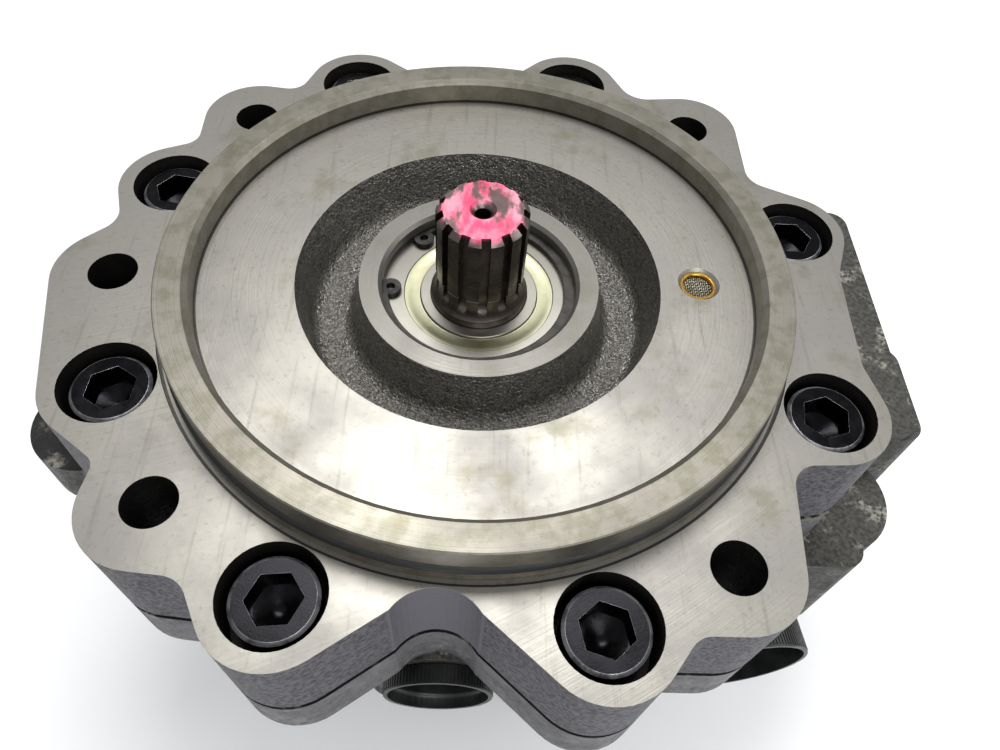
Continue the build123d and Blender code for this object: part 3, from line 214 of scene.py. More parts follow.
def clouds(tree: Tree, place: Socket, size_mm: float, band: tuple[float, float],
           to: tuple[float, float] = (0.0, 1.0), detail: float = 4.0) -> Socket:
    """Soft patches of a real size, eased between two values.

    Args:
        tree: the tree they go into.
        place: the coordinates they read.
        size_mm: the patches' size.
        band: the noise values between which they ease.
        to: the two values that they ease between.
        detail: how many finer octaves they have.

    Returns:
        The eased value.
    """
    noise = grain(tree, place, size_mm, detail=detail, roughness=0.6)
    ends = {"Value": noise, "From Min": band[0], "From Max": band[1], "To Min": to[0], "To Max": to[1]}
    return add(tree, RANGE, ends, interpolation_type="SMOOTHSTEP")


def between(tree: Tree, value: Socket, low: float, high: float) -> Socket:
    """Mask of the places where a value lies between two bounds.

    Args:
        tree: the tree it goes into.
        value: the value to test.
        low: the lower bound.
        high: the upper bound.

    Returns:
        1 inside the bounds and 0 outside them.
    """
    above = add(tree, MATH, {0: value, 1: low}, operation="GREATER_THAN")
    under = add(tree, MATH, {0: value, 1: high}, operation="LESS_THAN")
    return times(tree, above, under)


def from_axis(tree: Tree, place: Socket, centre: tuple[float, float] = (0.0, 0.0)) -> Socket:
    """Distance from an upright axis.

    Args:
        tree: the tree it goes into.
        place: Object coordinates.
        centre: where the axis stands.

    Returns:
        The distance in metres.
    """
    shifted = add(tree, VECTOR, {0: place, 1: (centre[0], centre[1], 0.0)}, operation="SUBTRACT")
    level = add(tree, VECTOR, {0: shifted, 1: (1.0, 1.0, 0.0)}, operation="MULTIPLY")
    return add(tree, VECTOR, {0: level}, "Value", operation="LENGTH")


RING_PITCH_MM = 0.9
SWEEP_PITCH_MM = 1.6
SWEEP_CENTRE = (-0.31, 0.46)


def tool_marks(tree: Tree, place: Socket, marks: Zone) -> Socket:
    """Fine lines that a cutter leaves, one or two millimetres apart so that they show.

    Args:
        tree: the tree they go into.
        place: Object coordinates.
        marks: rings about the shaft axis, or the wide arcs of a face mill.

    Returns:
        A height socket.
    """
    centre = (0.0, 0.0) if marks is Zone.RINGS else SWEEP_CENTRE
    pitch_mm = RING_PITCH_MM if marks is Zone.RINGS else SWEEP_PITCH_MM
    radius = from_axis(tree, place, centre)
    lines = add(tree, "ShaderNodeCombineXYZ", {0: radius, 1: 0.0, 2: add(tree, SPLIT, {0: place}, 2)})
    return grain(tree, lines, pitch_mm, detail=4.0, roughness=0.7)


@dataclass(frozen=True)
class MilledCasting(Finish):
    """Grey iron casting: milled faces and turned bores, with as-cast skin on its sides and in its groove."""

    skin: str = "67656a"
    skin_dark: str = "3f3e41"
    cutter_face: str = "66656b"
    # near-black: oil and painted shade in the bores, painted shade in the corners
    dark_oil_and_shade: str = "211f1d"
    crust: str = "5f5d59"
    bare_crust: str = "8f8c86"
    boss_face: str = "66645f"
    rim_face: str = "7b776b"
    rim_oil: str = "65624f"
    streak: str = "77746b"
    speck: str = "4d4a41"
    oil: str = "6f6c57"

    flange_inside: float = 129.2 * MM
    steep: float = 0.45
    groove_ring: tuple[float, float] = (49.25 * MM, 74.15 * MM)
    groove_top: float = 7.2 * MM
    boss_radius: float = 49.25 * MM
    recess_radius: float = 125.5 * MM
    rim_ring: tuple[float, float] = (112.4 * MM, 126.0 * MM)
    foot_ring: tuple[float, float] = (127.4 * MM, 128.7 * MM)
    foot_level: tuple[float, float] = (-2.0 * MM, -0.2 * MM)
    corner_ring: tuple[float, float] = (111.7 * MM, 112.7 * MM)
    corner_level: tuple[float, float] = (7.0 * MM, 8.3 * MM)
    port_cut: tuple[float, float] = (-11.3 * MM, -146.9 * MM)
    port_cut_reach: float = 18.3 * MM

    cloud_mm: float = 46.0
    stain_mm: float = 27.0
    speck_mm: float = 2.2
    skin_mm: float = 1.7
    lump_mm: float = 4.5
    grit_mm: float = 1.1
    wear_mm: float = 1.0
    sheen_mm: float = 5.0
    blot_mm: float = 7.0
    streak_mm: float = 2.6
    streak_turn: float = math.radians(24.0)
    streak_stretch: float = 0.045

    boss_strength: float = 0.6
    rim_strength: float = 0.65
    # how dark the painted shade in the corners is
    corner_shade_strength: float = 0.8
    line_depth: float = 0.4
    speck_depth: float = 0.12
    skin_depth: float = 2.2
    grit_depth: float = 6.5
    side_roughness: float = 0.6
    groove_roughness: tuple[float, float] = (0.24, 0.4)

    def surface(self, tree: Tree, place: Socket) -> tuple[Socket, Socket, Socket]:
        """Lay out the machined faces, the cast skin and the dark groove.

        Args:
            tree: the material's tree.
            place: Object coordinates.

        Returns:
            Sockets for colour, roughness and height.
        """
        radius = from_axis(tree, place)
        height = add(tree, SPLIT, {0: place}, 2)
        upward = upwardness(tree)
        outside = add(tree, MATH, {0: radius, 1: self.flange_inside}, operation="GREATER_THAN")
        steep = add(tree, MATH, {0: upward, 1: self.steep}, operation="LESS_THAN")
        sides = times(tree, outside, steep)
        low = add(tree, MATH, {0: height, 1: self.groove_top}, operation="LESS_THAN")
        groove = times(tree, between(tree, radius, *self.groove_ring), low)
        near_cut = between(tree, from_axis(tree, place, self.port_cut), 0.0, self.port_cut_reach)
        cut = times(tree, near_cut, steep)
        bore = add(tree, "ShaderNodeAttribute", out="Fac", attribute_name="bore")

        milled = self.milled_colour(tree, place, radius, height)
        cast = self.cast_colour(tree, place, cut)
        worn = clouds(tree, place, self.wear_mm, band=(0.36, 0.66))
        crust = blend(tree, worn, self.crust, self.bare_crust)
        colour = blend(tree, sides, milled, cast)
        # painted shade: the bore and hole walls take the near-black colour, for their oil and for the shade
        # inside them
        colour = blend(tree, bore, colour, self.dark_oil_and_shade)
        colour = blend(tree, groove, colour, crust)

        rough = clouds(tree, place, self.cloud_mm, band=(0.3, 0.7), to=self.roughness)
        rough = fade(tree, sides, rough, self.side_roughness)
        oily = clouds(tree, place, self.sheen_mm, band=(0.35, 0.65), to=self.groove_roughness)
        rough = fade(tree, groove, rough, oily)
        return colour, rough, self.tooled_height(tree, place, radius, sides, cut, groove)

    def milled_colour(self, tree: Tree, place: Socket, radius: Socket, height: Socket) -> Socket:
        """Colour of the machined faces: clouds, oil stains, scratches, specks, and painted shade in the
        corners.

        Args:
            tree: the material's tree.
            place: Object coordinates.
            radius: distance from the shaft axis.
            height: level along the shaft.

        Returns:
            The colour.
        """
        cloudy = clouds(tree, place, self.cloud_mm, band=(0.36, 0.66), detail=6.0)
        face = blend(tree, cloudy, self.colour, self.patch)
        stained = clouds(tree, place, self.stain_mm, band=(0.55, 0.74), to=(0.0, 0.6))
        face = blend(tree, stained, face, self.oil)
        along = add(tree, "ShaderNodeMapping", {"Vector": place, "Rotation": (0.0, 0.0, self.streak_turn),
                                                "Scale": (1.0, self.streak_stretch, 1.0)})
        streaks = clouds(tree, along, self.streak_mm, band=(0.56, 0.7), to=(0.0, 0.5), detail=5.0)
        face = blend(tree, streaks, face, self.streak)
        speckled = clouds(tree, place, self.speck_mm, band=(0.55, 0.75), to=(0.0, 0.3))
        face = blend(tree, speckled, face, self.speck)

        boss = between(tree, radius, 0.0, self.boss_radius)
        boss = times(tree, boss, self.boss_strength)
        face = blend(tree, boss, face, self.boss_face)
        rim = between(tree, radius, *self.rim_ring)
        rim = times(tree, rim, self.rim_strength)
        blotted = clouds(tree, place, self.blot_mm, band=(0.42, 0.62), detail=6.0)
        rim_face = blend(tree, blotted, self.rim_face, self.rim_oil)
        face = blend(tree, rim, face, rim_face)

        # painted shade: the foot of the register and the inner corner of the rim are darkened
        foot = times(tree, between(tree, radius, *self.foot_ring), between(tree, height, *self.foot_level))
        corner = times(tree, between(tree, radius, *self.corner_ring),
                       between(tree, height, *self.corner_level))
        corner_shade = add(tree, MATH, {0: foot, 1: corner}, operation="MAXIMUM")
        corner_shade = times(tree, corner_shade, self.corner_shade_strength)
        return blend(tree, corner_shade, face, self.dark_oil_and_shade)

    def cast_colour(self, tree: Tree, place: Socket, cut: Socket) -> Socket:
        """Colour of the sides: as-cast skin, and bare iron where the cutter cleared the small port.

        Args:
            tree: the material's tree.
            place: Object coordinates.
            cut: mask of the cutter's arc.

        Returns:
            The colour.
        """
        patchy = clouds(tree, place, self.skin_mm, band=(0.35, 0.62))
        skin = blend(tree, patchy, self.skin_dark, self.skin)
        return blend(tree, cut, skin, self.cutter_face)

    def tooled_height(self, tree: Tree, place: Socket, radius: Socket, sides: Socket, cut: Socket,
                      groove: Socket) -> Socket:
        """Height of the relief: cutter lines on the faces, lumps on the skin, coarse grit in the groove.

        Args:
            tree: the material's tree.
            place: Object coordinates.
            radius: distance from the shaft axis.
            sides: mask of the sides.
            cut: mask of the cutter's arc.
            groove: mask of the groove.

        Returns:
            The height.
        """
        inside = add(tree, MATH, {0: radius, 1: self.recess_radius}, operation="LESS_THAN")
        rings = tool_marks(tree, place, Zone.RINGS)
        sweep = tool_marks(tree, place, Zone.SWEEP)
        marks = fade(tree, inside, sweep, rings)
        marks = times(tree, marks, self.line_depth)
        specks = grain(tree, place, self.speck_mm)
        marks = add(tree, MATH, {0: specks, 1: self.speck_depth, 2: marks}, operation="MULTIPLY_ADD")
        pits = grain(tree, place, self.skin_mm, detail=4.0, roughness=0.7)
        lumps = grain(tree, place, self.lump_mm)
        pitted = add(tree, MATH, {0: pits, 1: lumps}, operation="ADD")
        skin = fade(tree, cut, pitted, sweep)
        skin = times(tree, skin, self.skin_depth)
        relief = fade(tree, sides, marks, skin)
        grit = grain(tree, place, self.grit_mm, detail=2.0, roughness=0.6)
        gritty = add(tree, MATH, {0: grit, 1: lumps}, operation="ADD")
        gritty = times(tree, gritty, self.grit_depth)
        return fade(tree, groove, relief, gritty)


@dataclass(frozen=True)
class RoughCasting(Finish):
    """Dark sand cast iron: pitted skin with lighter worn and dusty spots."""

    dust: str = "8f8c80"
    flange_skin: str = "605f63"
    # near black, for the painted shade in the parting gap
    parting_gap_shade: str = "141313"

    dust_mm: float = 17.0
    pit_mm: float = 2.0
    lump_mm: float = 9.0
    lump_depth: float = 2.0
    flange_levels: tuple[float, float] = (-74.0 * MM, -43.0 * MM)
    flange_radius: float = 173.0 * MM
    side_tilt: tuple[float, float] = (-0.5, 0.5)
    gap_levels: tuple[float, float] = (-47.4 * MM, -43.6 * MM)

    def surface(self, tree: Tree, place: Socket) -> tuple[Socket, Socket, Socket]:
        """Lay out pitted skin, the flange's paler side, painted shade in the parting gap and dusty spots.

        Args:
            tree: the material's tree.
            place: Object coordinates.

        Returns:
            Sockets for colour, roughness and height.
        """
        upward = upwardness(tree)
        level = add(tree, SPLIT, {0: place}, 2)
        pitted = clouds(tree, place, self.pit_mm, band=(0.34, 0.64))
        colour = blend(tree, pitted, self.colour, self.patch)
        side = times(tree, between(tree, level, *self.flange_levels), between(tree, upward, *self.side_tilt))
        near = add(tree, MATH, {0: from_axis(tree, place), 1: self.flange_radius}, operation="LESS_THAN")
        side = times(tree, side, near)
        patchy = clouds(tree, place, self.pit_mm, band=(0.3, 0.6), to=(0.45, 1.0))
        side = times(tree, side, patchy)
        colour = blend(tree, side, colour, self.flange_skin)
        # painted shade: the parting gap between the castings is darkened
        gap = between(tree, level, *self.gap_levels)
        colour = blend(tree, gap, colour, self.parting_gap_shade)
        spots = clouds(tree, place, self.dust_mm, band=(0.52, 0.64), detail=5.0)
        grainy = clouds(tree, place, self.pit_mm, band=(0.4, 0.58))
        dusty = times(tree, spots, grainy)
        settled = {"Value": upward, "From Min": -0.2, "From Max": 0.9, "To Min": 0.25, "To Max": 0.9}
        dusty = times(tree, dusty, add(tree, RANGE, settled))
        colour = blend(tree, dusty, colour, self.dust)
        rough = clouds(tree, place, self.lump_mm, band=(0.3, 0.7), to=self.roughness)
        pits = grain(tree, place, self.pit_mm, detail=5.0, roughness=0.7)
        lumps = grain(tree, place, self.lump_mm, detail=4.0)
        height = add(tree, MATH, {0: lumps, 1: self.lump_depth, 2: pits}, operation="MULTIPLY_ADD")
        return colour, rough, height


@dataclass(frozen=True)
class BlackedScrewSteel(Finish):
    """Black oxide on socket screws, with pale rims on their heads, for wear to bare steel and as a painted
    highlight.
    """

    # pale rim colour: wear to bare steel and a painted highlight
    worn: str = "dcdde0"
    rim_wear_highlight_mm: float = 6.0
    rim_levels: tuple[float, float] = (-5.7 * MM, -3.7 * MM)
    rim_tilt: tuple[float, float] = (0.15, 0.96)
    rim_roughness: float = 0.4

    def surface(self, tree: Tree, place: Socket) -> tuple[Socket, Socket, Socket]:
        """Lay out the oxide and its pale rims, part wear and part painted highlight.

        Args:
            tree: the material's tree.
            place: Object coordinates.

        Returns:
            Sockets for colour, roughness and height.
        """
        colour, rough, height = super().surface(tree, place)
        level = add(tree, SPLIT, {0: place}, 2)
        upward = upwardness(tree)
        rims = times(tree, between(tree, level, *self.rim_levels), between(tree, upward, *self.rim_tilt))
        # painted highlight, with wear: pale patches on the chamfered rims of the heads
        rim_wear_highlight = clouds(tree, place, self.rim_wear_highlight_mm, band=(0.35, 0.6), to=(0.35, 1.0))
        rim_wear_highlight = times(tree, rims, rim_wear_highlight)
        colour = blend(tree, rim_wear_highlight, colour, self.worn)
        rough = fade(tree, rims, rough, self.rim_roughness)
        return colour, rough, height


@dataclass(frozen=True)
class MarkedShaftSteel(Finish):
    """Machined shaft steel whose end face carries a wiped dab of marking paint."""

    paint: str = "c94f6e"
    thin_paint: str = "d9909f"
    spline_foot_highlight: str = "e6e4de"

    paint_from: float = 41.4 * MM
    paint_full: float = 42.8 * MM
    wipe: tuple[float, float, float] = (1.0, 0.45, 1.0)
    wipe_mm: float = 9.0
    thin_mm: float = 5.0
    paint_roughness: float = 0.5
    foot_levels: tuple[float, float] = (9.5 * MM, 10.5 * MM)
    foot_ring: tuple[float, float] = (16.9 * MM, 18.2 * MM)

    def surface(self, tree: Tree, place: Socket) -> tuple[Socket, Socket, Socket]:
        """Lay out turned steel with a painted highlight at the foot of the spline and the paint over the
        shaft's end.

        Args:
            tree: the material's tree.
            place: Object coordinates.

        Returns:
            Sockets for colour, roughness and height.
        """
        colour, rough, height = super().surface(tree, place)
        level = add(tree, SPLIT, {0: place}, 2)
        near_tip = add(tree, RANGE, {"Value": level, "From Min": self.paint_from,
                                     "From Max": self.paint_full})
        strokes = add(tree, VECTOR, {0: place, 1: self.wipe}, operation="MULTIPLY")
        wiped = clouds(tree, strokes, self.wipe_mm, band=(0.4, 0.52), to=(0.08, 1.0))
        painted = times(tree, near_tip, wiped)
        thin = clouds(tree, strokes, self.thin_mm, band=(0.35, 0.68))
        paint = blend(tree, thin, self.paint, self.thin_paint)
        # painted highlight: a bright ring at the foot of the spline
        foot = times(tree, between(tree, level, *self.foot_levels),
                     between(tree, from_axis(tree, place), *self.foot_ring))
        colour = blend(tree, foot, colour, self.spline_foot_highlight)
        colour = blend(tree, painted, colour, paint)
        rough = fade(tree, painted, rough, self.paint_roughness)
        return colour, rough, height


# Milled grey iron: a warm mid grey with soft oil stains, faint cutter arcs and long scratches.
MILLED_GREY_IRON = MilledCasting("milled_grey_iron", "flange_iron", "949189", "888580", 0.85, (0.36, 0.5),
                                 relief=0.5)
# Sand cast iron with a dark oxide skin: nearly black, matt, with paler rubbed spots.
SAND_CAST_IRON = RoughCasting("sand_cast_iron", "housing_iron", "282724", "474641", 0.3, (0.45, 0.7),
                              relief=0.9)
# The same skin on the rear cover, a little darker and oilier.
OILED_CAST_IRON = RoughCasting("oiled_cast_iron", "cover_iron", "222120", "403f3c", 0.3, (0.38, 0.62),
                               relief=0.9)
# Black oxide socket screws: deep black, with a painted satin highlight on worn rims.
BLACK_OXIDE_STEEL = BlackedScrewSteel("black_oxide_steel", "black_steel", "111113", "1d1d20", 0.9,
                                      (0.2, 0.32), 8.0, 0.8, 0.08)
# Ground bearing steel: bright, fine rings.
GROUND_BEARING_STEEL = Finish("ground_bearing_steel", "bearing_steel", "9b988e", "8b8882", 1.0, (0.3, 0.36),
                              40.0, 0.6, 0.01, Zone.RINGS)
# Yellow passivated zinc on pressed steel: pale straw colour.
ZINC_PASSIVATED_STEEL = Finish("zinc_passivated_steel", "zinc_steel", "a9a88c", "9a9980", 1.0, (0.3, 0.42),
                               9.0, 0.8, 0.12, Zone.RINGS)
# Zinc plated valve parts: cool, slightly yellow grey.
ZINC_PLATED_VALVE = Finish("zinc_plated_valve_steel", "zinc_valve", "c0bda8", "a3a089", 1.0, (0.28, 0.44),
                           12.0, 0.8, 0.15)
# Phosphated spring steel: dark grey, slightly oily.
PHOSPHATED_STEEL = Finish("phosphated_spring_steel", "circlip_steel", "2c2b2a", "45423e", 0.85,
                          (0.32, 0.48), 7.0, 0.7, 0.2)
# Turned alloy steel: mid grey with a faint brown oil film, and the dab of pink marking paint.
TURNED_SHAFT_STEEL = MarkedShaftSteel("turned_shaft_steel", "shaft_steel", "6b6460", "4a4440", 1.0,
                                      (0.26, 0.42), 9.0, 0.8, 0.2, Zone.RINGS)
# Plain turned steel on the parts inside.
TURNED_STEEL = Finish("turned_alloy_steel", "shaft_steel", "928d88", "79746f", 1.0, (0.28, 0.42), 16.0,
                      0.8, 0.15)
# Ground and hardened steel: bright cool grey.
GROUND_STEEL = Finish("ground_hardened_steel", "bright_steel", "bdbcba", "a6a5a2", 1.0, (0.2, 0.34), 16.0,
                      0.7, 0.1)
# Spring steel wire with an oil film.
OILED_SPRING_STEEL = Finish("oiled_spring_steel", "spring_steel", "5b5c60", "46474b", 1.0, (0.3, 0.42),
                            6.0, 0.6, 0.15)
# Nitrile rubber: soft black.
NITRILE_RUBBER = Finish("nitrile_rubber", "seal_rubber", "101011", "1b1b1c", 0.0, (0.5, 0.65), 6.0, 0.6,
                        0.1, ior=1.52)
# Turned brass: warm yellow.
TURNED_BRASS = Finish("turned_brass", "brass", "b58e47", "94702f", 1.0, (0.24, 0.36), 4.0, 0.5, 0.12,
                      Zone.RINGS)
# Leaded bronze: brownish gold.
LEADED_BRONZE = Finish("leaded_bronze", "bronze", "a8763f", "8f6335", 1.0, (0.28, 0.42), 12.0, 0.7, 0.12)
# Stainless woven wire: bright with dirt in it.
STAINLESS_WIRE = Finish("stainless_woven_wire", "mesh_steel", "b8b3a2", "948d78", 1.0, (0.25, 0.4), 3.0,
                        0.4, 0.1)
# Injection moulded polyethylene: black with a low waxy gloss.
MOULDED_POLYETHYLENE = Finish("moulded_polyethylene", "cap_plastic", "0d0f0e", "171a17", 0.0, (0.34, 0.5),
                              12.0, 0.9, 0.1, ior=1.51)
# Sintered friction lining: dull brown.
SINTERED_LINING = Finish("sintered_lining", "lining", "5a4a3a", "463a2e", 0.2, (0.6, 0.75), 8.0, 0.8, 0.3)


def dress(piece: bpy.types.Object, finish: Finish, body: str, *stands_for: str) -> bpy.types.Object:
    """Give a finished piece its material, its body and what it stands for.

    Args:
        piece: the object, at the origin.
        finish: what it is made of.
        body: the body it rides on.
        *stands_for: CAD nodes it hides.

    Returns:
        The same object.
    """
    piece.data.materials.clear()
    piece.data.materials.append(material_of(finish))
    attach(piece, body)
    if stands_for:
        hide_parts(*stands_for)
    log.info("%s: %s on %s, %d faces", piece.name, finish.name, body, len(piece.data.polygons))
    return piece


def material_of(finish: Finish) -> bpy.types.Material:
    """The one material of a finish, made when it is first asked for."""
    return bpy.data.materials.get(finish.name) or finish.build()


def link(name: str, mesh: bpy.types.Mesh) -> bpy.types.Object:
    """Put a mesh in the scene as an object at the origin."""
    piece = bpy.data.objects.new(name, mesh)
    bpy.context.scene.collection.objects.link(piece)
    return piece


def plain_mesh(piece: bpy.types.Object) -> bpy.types.Object:
    """Turn a piece's modifiers into plain geometry.

    Args:
        piece: the object with modifiers.

    Returns:
        The same object with a plain mesh.
    """
    graph = bpy.context.evaluated_depsgraph_get()
    mesh = bpy.data.meshes.new_from_object(piece.evaluated_get(graph))
    piece.modifiers.clear()
    piece.data = mesh
    return piece


def softened(node: str, name: str, bevel: float = 0.0, angle: float = 30.0) -> bpy.types.Object:
    """A smooth shaded copy of a CAD node, with its sharp edges broken.

    Args:
        node: the CAD node.
        name: the new piece's name.
        bevel: width of the broken edges in metres, 0 for none.
        angle: edges sharper than this stay sharp, in degrees.

    Returns:
        The new object.
    """
    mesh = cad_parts[node].data.copy()
    cage = bmesh.new()
    cage.from_mesh(mesh)
    bmesh.ops.remove_doubles(cage, verts=cage.verts, dist=2e-6)
    for face in cage.faces:
        face.smooth = True
    cage.to_mesh(mesh)
    cage.free()
    mesh.name = name
    mesh.set_sharp_from_angle(angle=math.radians(angle))
    piece = link(name, mesh)
    if bevel:
        edges = piece.modifiers.new("edges", "BEVEL")
        edges.width = bevel
        edges.segments = 2
        edges.limit_method = "ANGLE"
        edges.angle_limit = math.radians(angle + 10)
        edges.use_clamp_overlap = True
    flats = piece.modifiers.new("flats", "WEIGHTED_NORMAL")
    flats.keep_sharp = True
    flats.weight = 100
    plain_mesh(piece)
    return piece


def grown(name: str, tree: Tree, **values: object) -> bpy.types.Object:
    """Run a Geometry Nodes tree and keep its result as a plain mesh.

    Args:
        name: the new piece's name.
        tree: the geometry tree.
        **values: the tree's named inputs, with underscores for spaces.

    Returns:
        The new object.
    """
    piece = link(name, bpy.data.meshes.new(name))
    modifier = piece.modifiers.new("grow", "NODES")
    modifier.node_group = tree
    for item in tree.interface.items_tree:
        if item.item_type == "SOCKET" and item.in_out == "INPUT" and item.name.replace(" ", "_") in values:
            modifier[item.identifier] = values[item.name.replace(" ", "_")]
    return plain_mesh(piece)


def new_tree(name: str, **inputs: str) -> tuple[Tree, bpy.types.Node]:
    """Start a geometry tree with named inputs.

    Args:
        name: the tree's name.
        **inputs: input name, with underscores for spaces, to its socket type.

    Returns:
        The tree and its input node.
    """
    tree = bpy.data.node_groups.new(name, "GeometryNodeTree")
    for key, kind in inputs.items():
        tree.interface.new_socket(key.replace("_", " "), in_out="INPUT", socket_type=kind)
    tree.interface.new_socket("Geometry", in_out="OUTPUT", socket_type="NodeSocketGeometry")
    return tree, tree.nodes.new("NodeGroupInput")


def close_tree(tree: Tree, shape: Socket, finish: Finish) -> Tree:
    """End a geometry tree with Realize Instances and Set Material.

    Args:
        tree: the tree.
        shape: the geometry to end it with.
        finish: the finish of what it makes.

    Returns:
        The tree.
    """
    real = add(tree, "GeometryNodeRealizeInstances", {0: shape})
    dressed = add(tree, "GeometryNodeSetMaterial", {"Geometry": real, "Material": material_of(finish)})
    add(tree, "NodeGroupOutput", {0: dressed})
    return tree


def joined(name: str, *pieces: bpy.types.Object) -> bpy.types.Object:
    """Make one object of several.

    Args:
        name: the new object's name.
        *pieces: plain mesh objects at the origin.

    Returns:
        The joined object.
    """
    cage = bmesh.new()
    for piece in pieces:
        cage.from_mesh(piece.data)
    mesh = bpy.data.meshes.new(name)
    cage.to_mesh(mesh)
    cage.free()
    for piece in pieces:
        bpy.data.objects.remove(piece)
    return link(name, mesh)


@dataclass
class FrontCasing:
    """Scalloped flange with its register, recess and boss, its screws and the seal on its register."""

    edge: float = 0.35 * MM
    screw_edge: float = 0.35 * MM
    screw_circle: float = 147.0 * MM
    screw_angles: tuple[float, ...] = (16.02, 72.5, 115.5, 158.5, 201.5, 244.5, 287.5, 337.57)
    screw_reach: float = 18.3 * MM
    hole_circle: float = 149.4 * MM
    hole_angles: tuple[float, ...] = (46.96, 137.0, 180.0, 223.0, 306.8)
    hole_reach: float = 10.1 * MM
    bore_top: float = -0.4 * MM

    def build(self) -> None:
        """Dress the casing and what is screwed or set in it."""
        casting = softened("front_casing", "flange_casting", self.edge)
        self.mark_bores(casting)
        dress(casting, MILLED_GREY_IRON, "housing", "front_casing")
        dress(softened("casing_screws", "flange_screws", self.screw_edge), BLACK_OXIDE_STEEL, "housing",
              "casing_screws")
        dress(softened("register_seal", "register_ring_seal"), NITRILE_RUBBER, "housing", "register_seal")

    def mark_bores(self, casting: bpy.types.Object) -> None:
        """Mark the walls of the screw bores and the plain holes, which are coloured near-black for their oil
        and as painted shade inside them.

        Args:
            casting: the flange casting.
        """
        bores = [(angle, self.screw_circle, self.screw_reach) for angle in self.screw_angles]
        bores += [(angle, self.hole_circle, self.hole_reach) for angle in self.hole_angles]
        centres = []
        for angle, circle, reach in bores:
            turn = math.radians(angle)
            centres.append((Vector((math.cos(turn), math.sin(turn))) * circle, reach))
        marks = casting.data.attributes.new("bore", "FLOAT", "FACE")
        for face, mark in zip(casting.data.polygons, marks.data):
            spot = face.center.to_2d()
            inside = any((spot - centre).length < reach for centre, reach in centres)
            mark.value = float(inside and face.center.z < self.bore_top)


@dataclass
class ShaftBearing:
    """Bearing rings, shield and retaining ring round the splined shaft."""

    shaft_edge: float = 0.25 * MM
    race_edge: float = 0.3 * MM
    clip_edge: float = 0.2 * MM

    def build(self) -> None:
        """Dress the shaft end and its bearing."""
        dress(softened("drive_shaft", "splined_shaft", self.shaft_edge), TURNED_SHAFT_STEEL, "rotor",
              "drive_shaft")
        dress(softened("bearing_outer_ring", "bearing_outer_race", self.race_edge), GROUND_BEARING_STEEL,
              "housing", "bearing_outer_ring")
        dress(softened("bearing_inner_ring", "bearing_inner_race", self.race_edge), GROUND_BEARING_STEEL,
              "rotor", "bearing_inner_ring")
        dress(softened("bearing_shield", "pressed_shield"), ZINC_PASSIVATED_STEEL, "housing",
              "bearing_shield")
        dress(softened("bearing_circlip", "retaining_ring", self.clip_edge), PHOSPHATED_STEEL, "housing",
              "bearing_circlip")


@dataclass
class VentScreen:
    """Brass ring with woven wire across it, in the recess floor."""

    centre: tuple[float, float] = (90.6 * MM, 0.0)
    wire_level: float = 4.3 * MM
    cloth_radius: float = 5.8 * MM
    wire_radius: float = 0.17 * MM
    pitch: float = 0.9 * MM
    ring_edge: float = 0.15 * MM
    wire_sides: int = 6
    bends: int = 4

    def build(self) -> None:
        """Dress the ring and weave the wire cloth."""
        dress(softened("vent_filter_ring", "vent_brass_ring", self.ring_edge), TURNED_BRASS, "housing",
              "vent_filter_ring")
        across = self.weave(True)
        along = self.weave(False)
        cloth = joined("vent_wire_cloth", across, along)
        cloth.data.transform(Matrix.Translation((*self.centre, self.wire_level)))
        for face in cloth.data.polygons:
            face.use_smooth = True
        dress(cloth, STAINLESS_WIRE, "housing", "vent_filter_mesh")

    def weave(self, across: bool) -> bpy.types.Object:
        """One set of wires, bent over and under the other set.

        Args:
            across: True for wires along X, False for wires along Y.

        Returns:
            The wires as one object.
        """
        tree, given = new_tree("woven_wires", Cloth_Radius="NodeSocketFloat", Pitch="NodeSocketFloat",
                               Wire_Radius="NodeSocketFloat", Side="NodeSocketFloat")
        radius, pitch, thick, side = (given.outputs[i] for i in range(4))
        count = 2 * int(self.cloth_radius / self.pitch) + 1
        half = self.pitch * (count // 2)
        places = add(tree, "GeometryNodeMeshLine", {"Count": count, "Start Location": (0.0, -half, 0.0),
                                                   "Offset": (0.0, self.pitch, 0.0)})
        line = add(tree, "GeometryNodeCurvePrimitiveLine", {"Start": (-1.0, 0.0, 0.0),
                                                            "End": (1.0, 0.0, 0.0)})
        fine = add(tree, "GeometryNodeResampleCurve", {"Curve": line, "Count": self.bends * count})
        spot = add(tree, "GeometryNodeInputPosition")
        row = add(tree, SPLIT, {0: spot}, 1)
        squared = times(tree, radius, radius)
        squared = add(tree, MATH, {0: squared, 1: times(tree, row, row)}, operation="SUBTRACT")
        chord = add(tree, MATH, {0: squared}, operation="SQRT")
        scale = add(tree, "ShaderNodeCombineXYZ", {0: chord, 1: 1.0, 2: 1.0})
        wires = add(tree, "GeometryNodeInstanceOnPoints", {"Points": places, "Instance": fine,
                                                           "Scale": scale})
        real = add(tree, "GeometryNodeRealizeInstances", {0: wires})
        waves = []
        for axis in (0, 1):
            turn = times(tree, add(tree, SPLIT, {0: spot}, axis), math.pi)
            turn = add(tree, MATH, {0: turn, 1: pitch}, operation="DIVIDE")
            waves.append(add(tree, MATH, {0: turn}, operation="COSINE"))
        wave = times(tree, waves[0], waves[1])
        lift = times(tree, times(tree, wave, thick), side)
        offset = add(tree, "ShaderNodeCombineXYZ", {2: lift})
        bent = add(tree, "GeometryNodeSetPosition", {"Geometry": real, "Offset": offset})
        profile = add(tree, "GeometryNodeCurvePrimitiveCircle", {"Resolution": self.wire_sides,
                                                                    "Radius": thick})
        solid = add(tree, "GeometryNodeCurveToMesh", {"Curve": bent, "Profile Curve": profile,
                                                      "Fill Caps": True})
        close_tree(tree, solid, STAINLESS_WIRE)
        name = "wires_across" if across else "wires_along"
        wires = grown(name, tree, Cloth_Radius=self.cloth_radius, Pitch=self.pitch,
                      Wire_Radius=self.wire_radius, Side=1.0 if across else -1.0)
        if not across:
            wires.data.transform(Matrix.Rotation(math.pi / 2, 4, "Z"))
        return wires


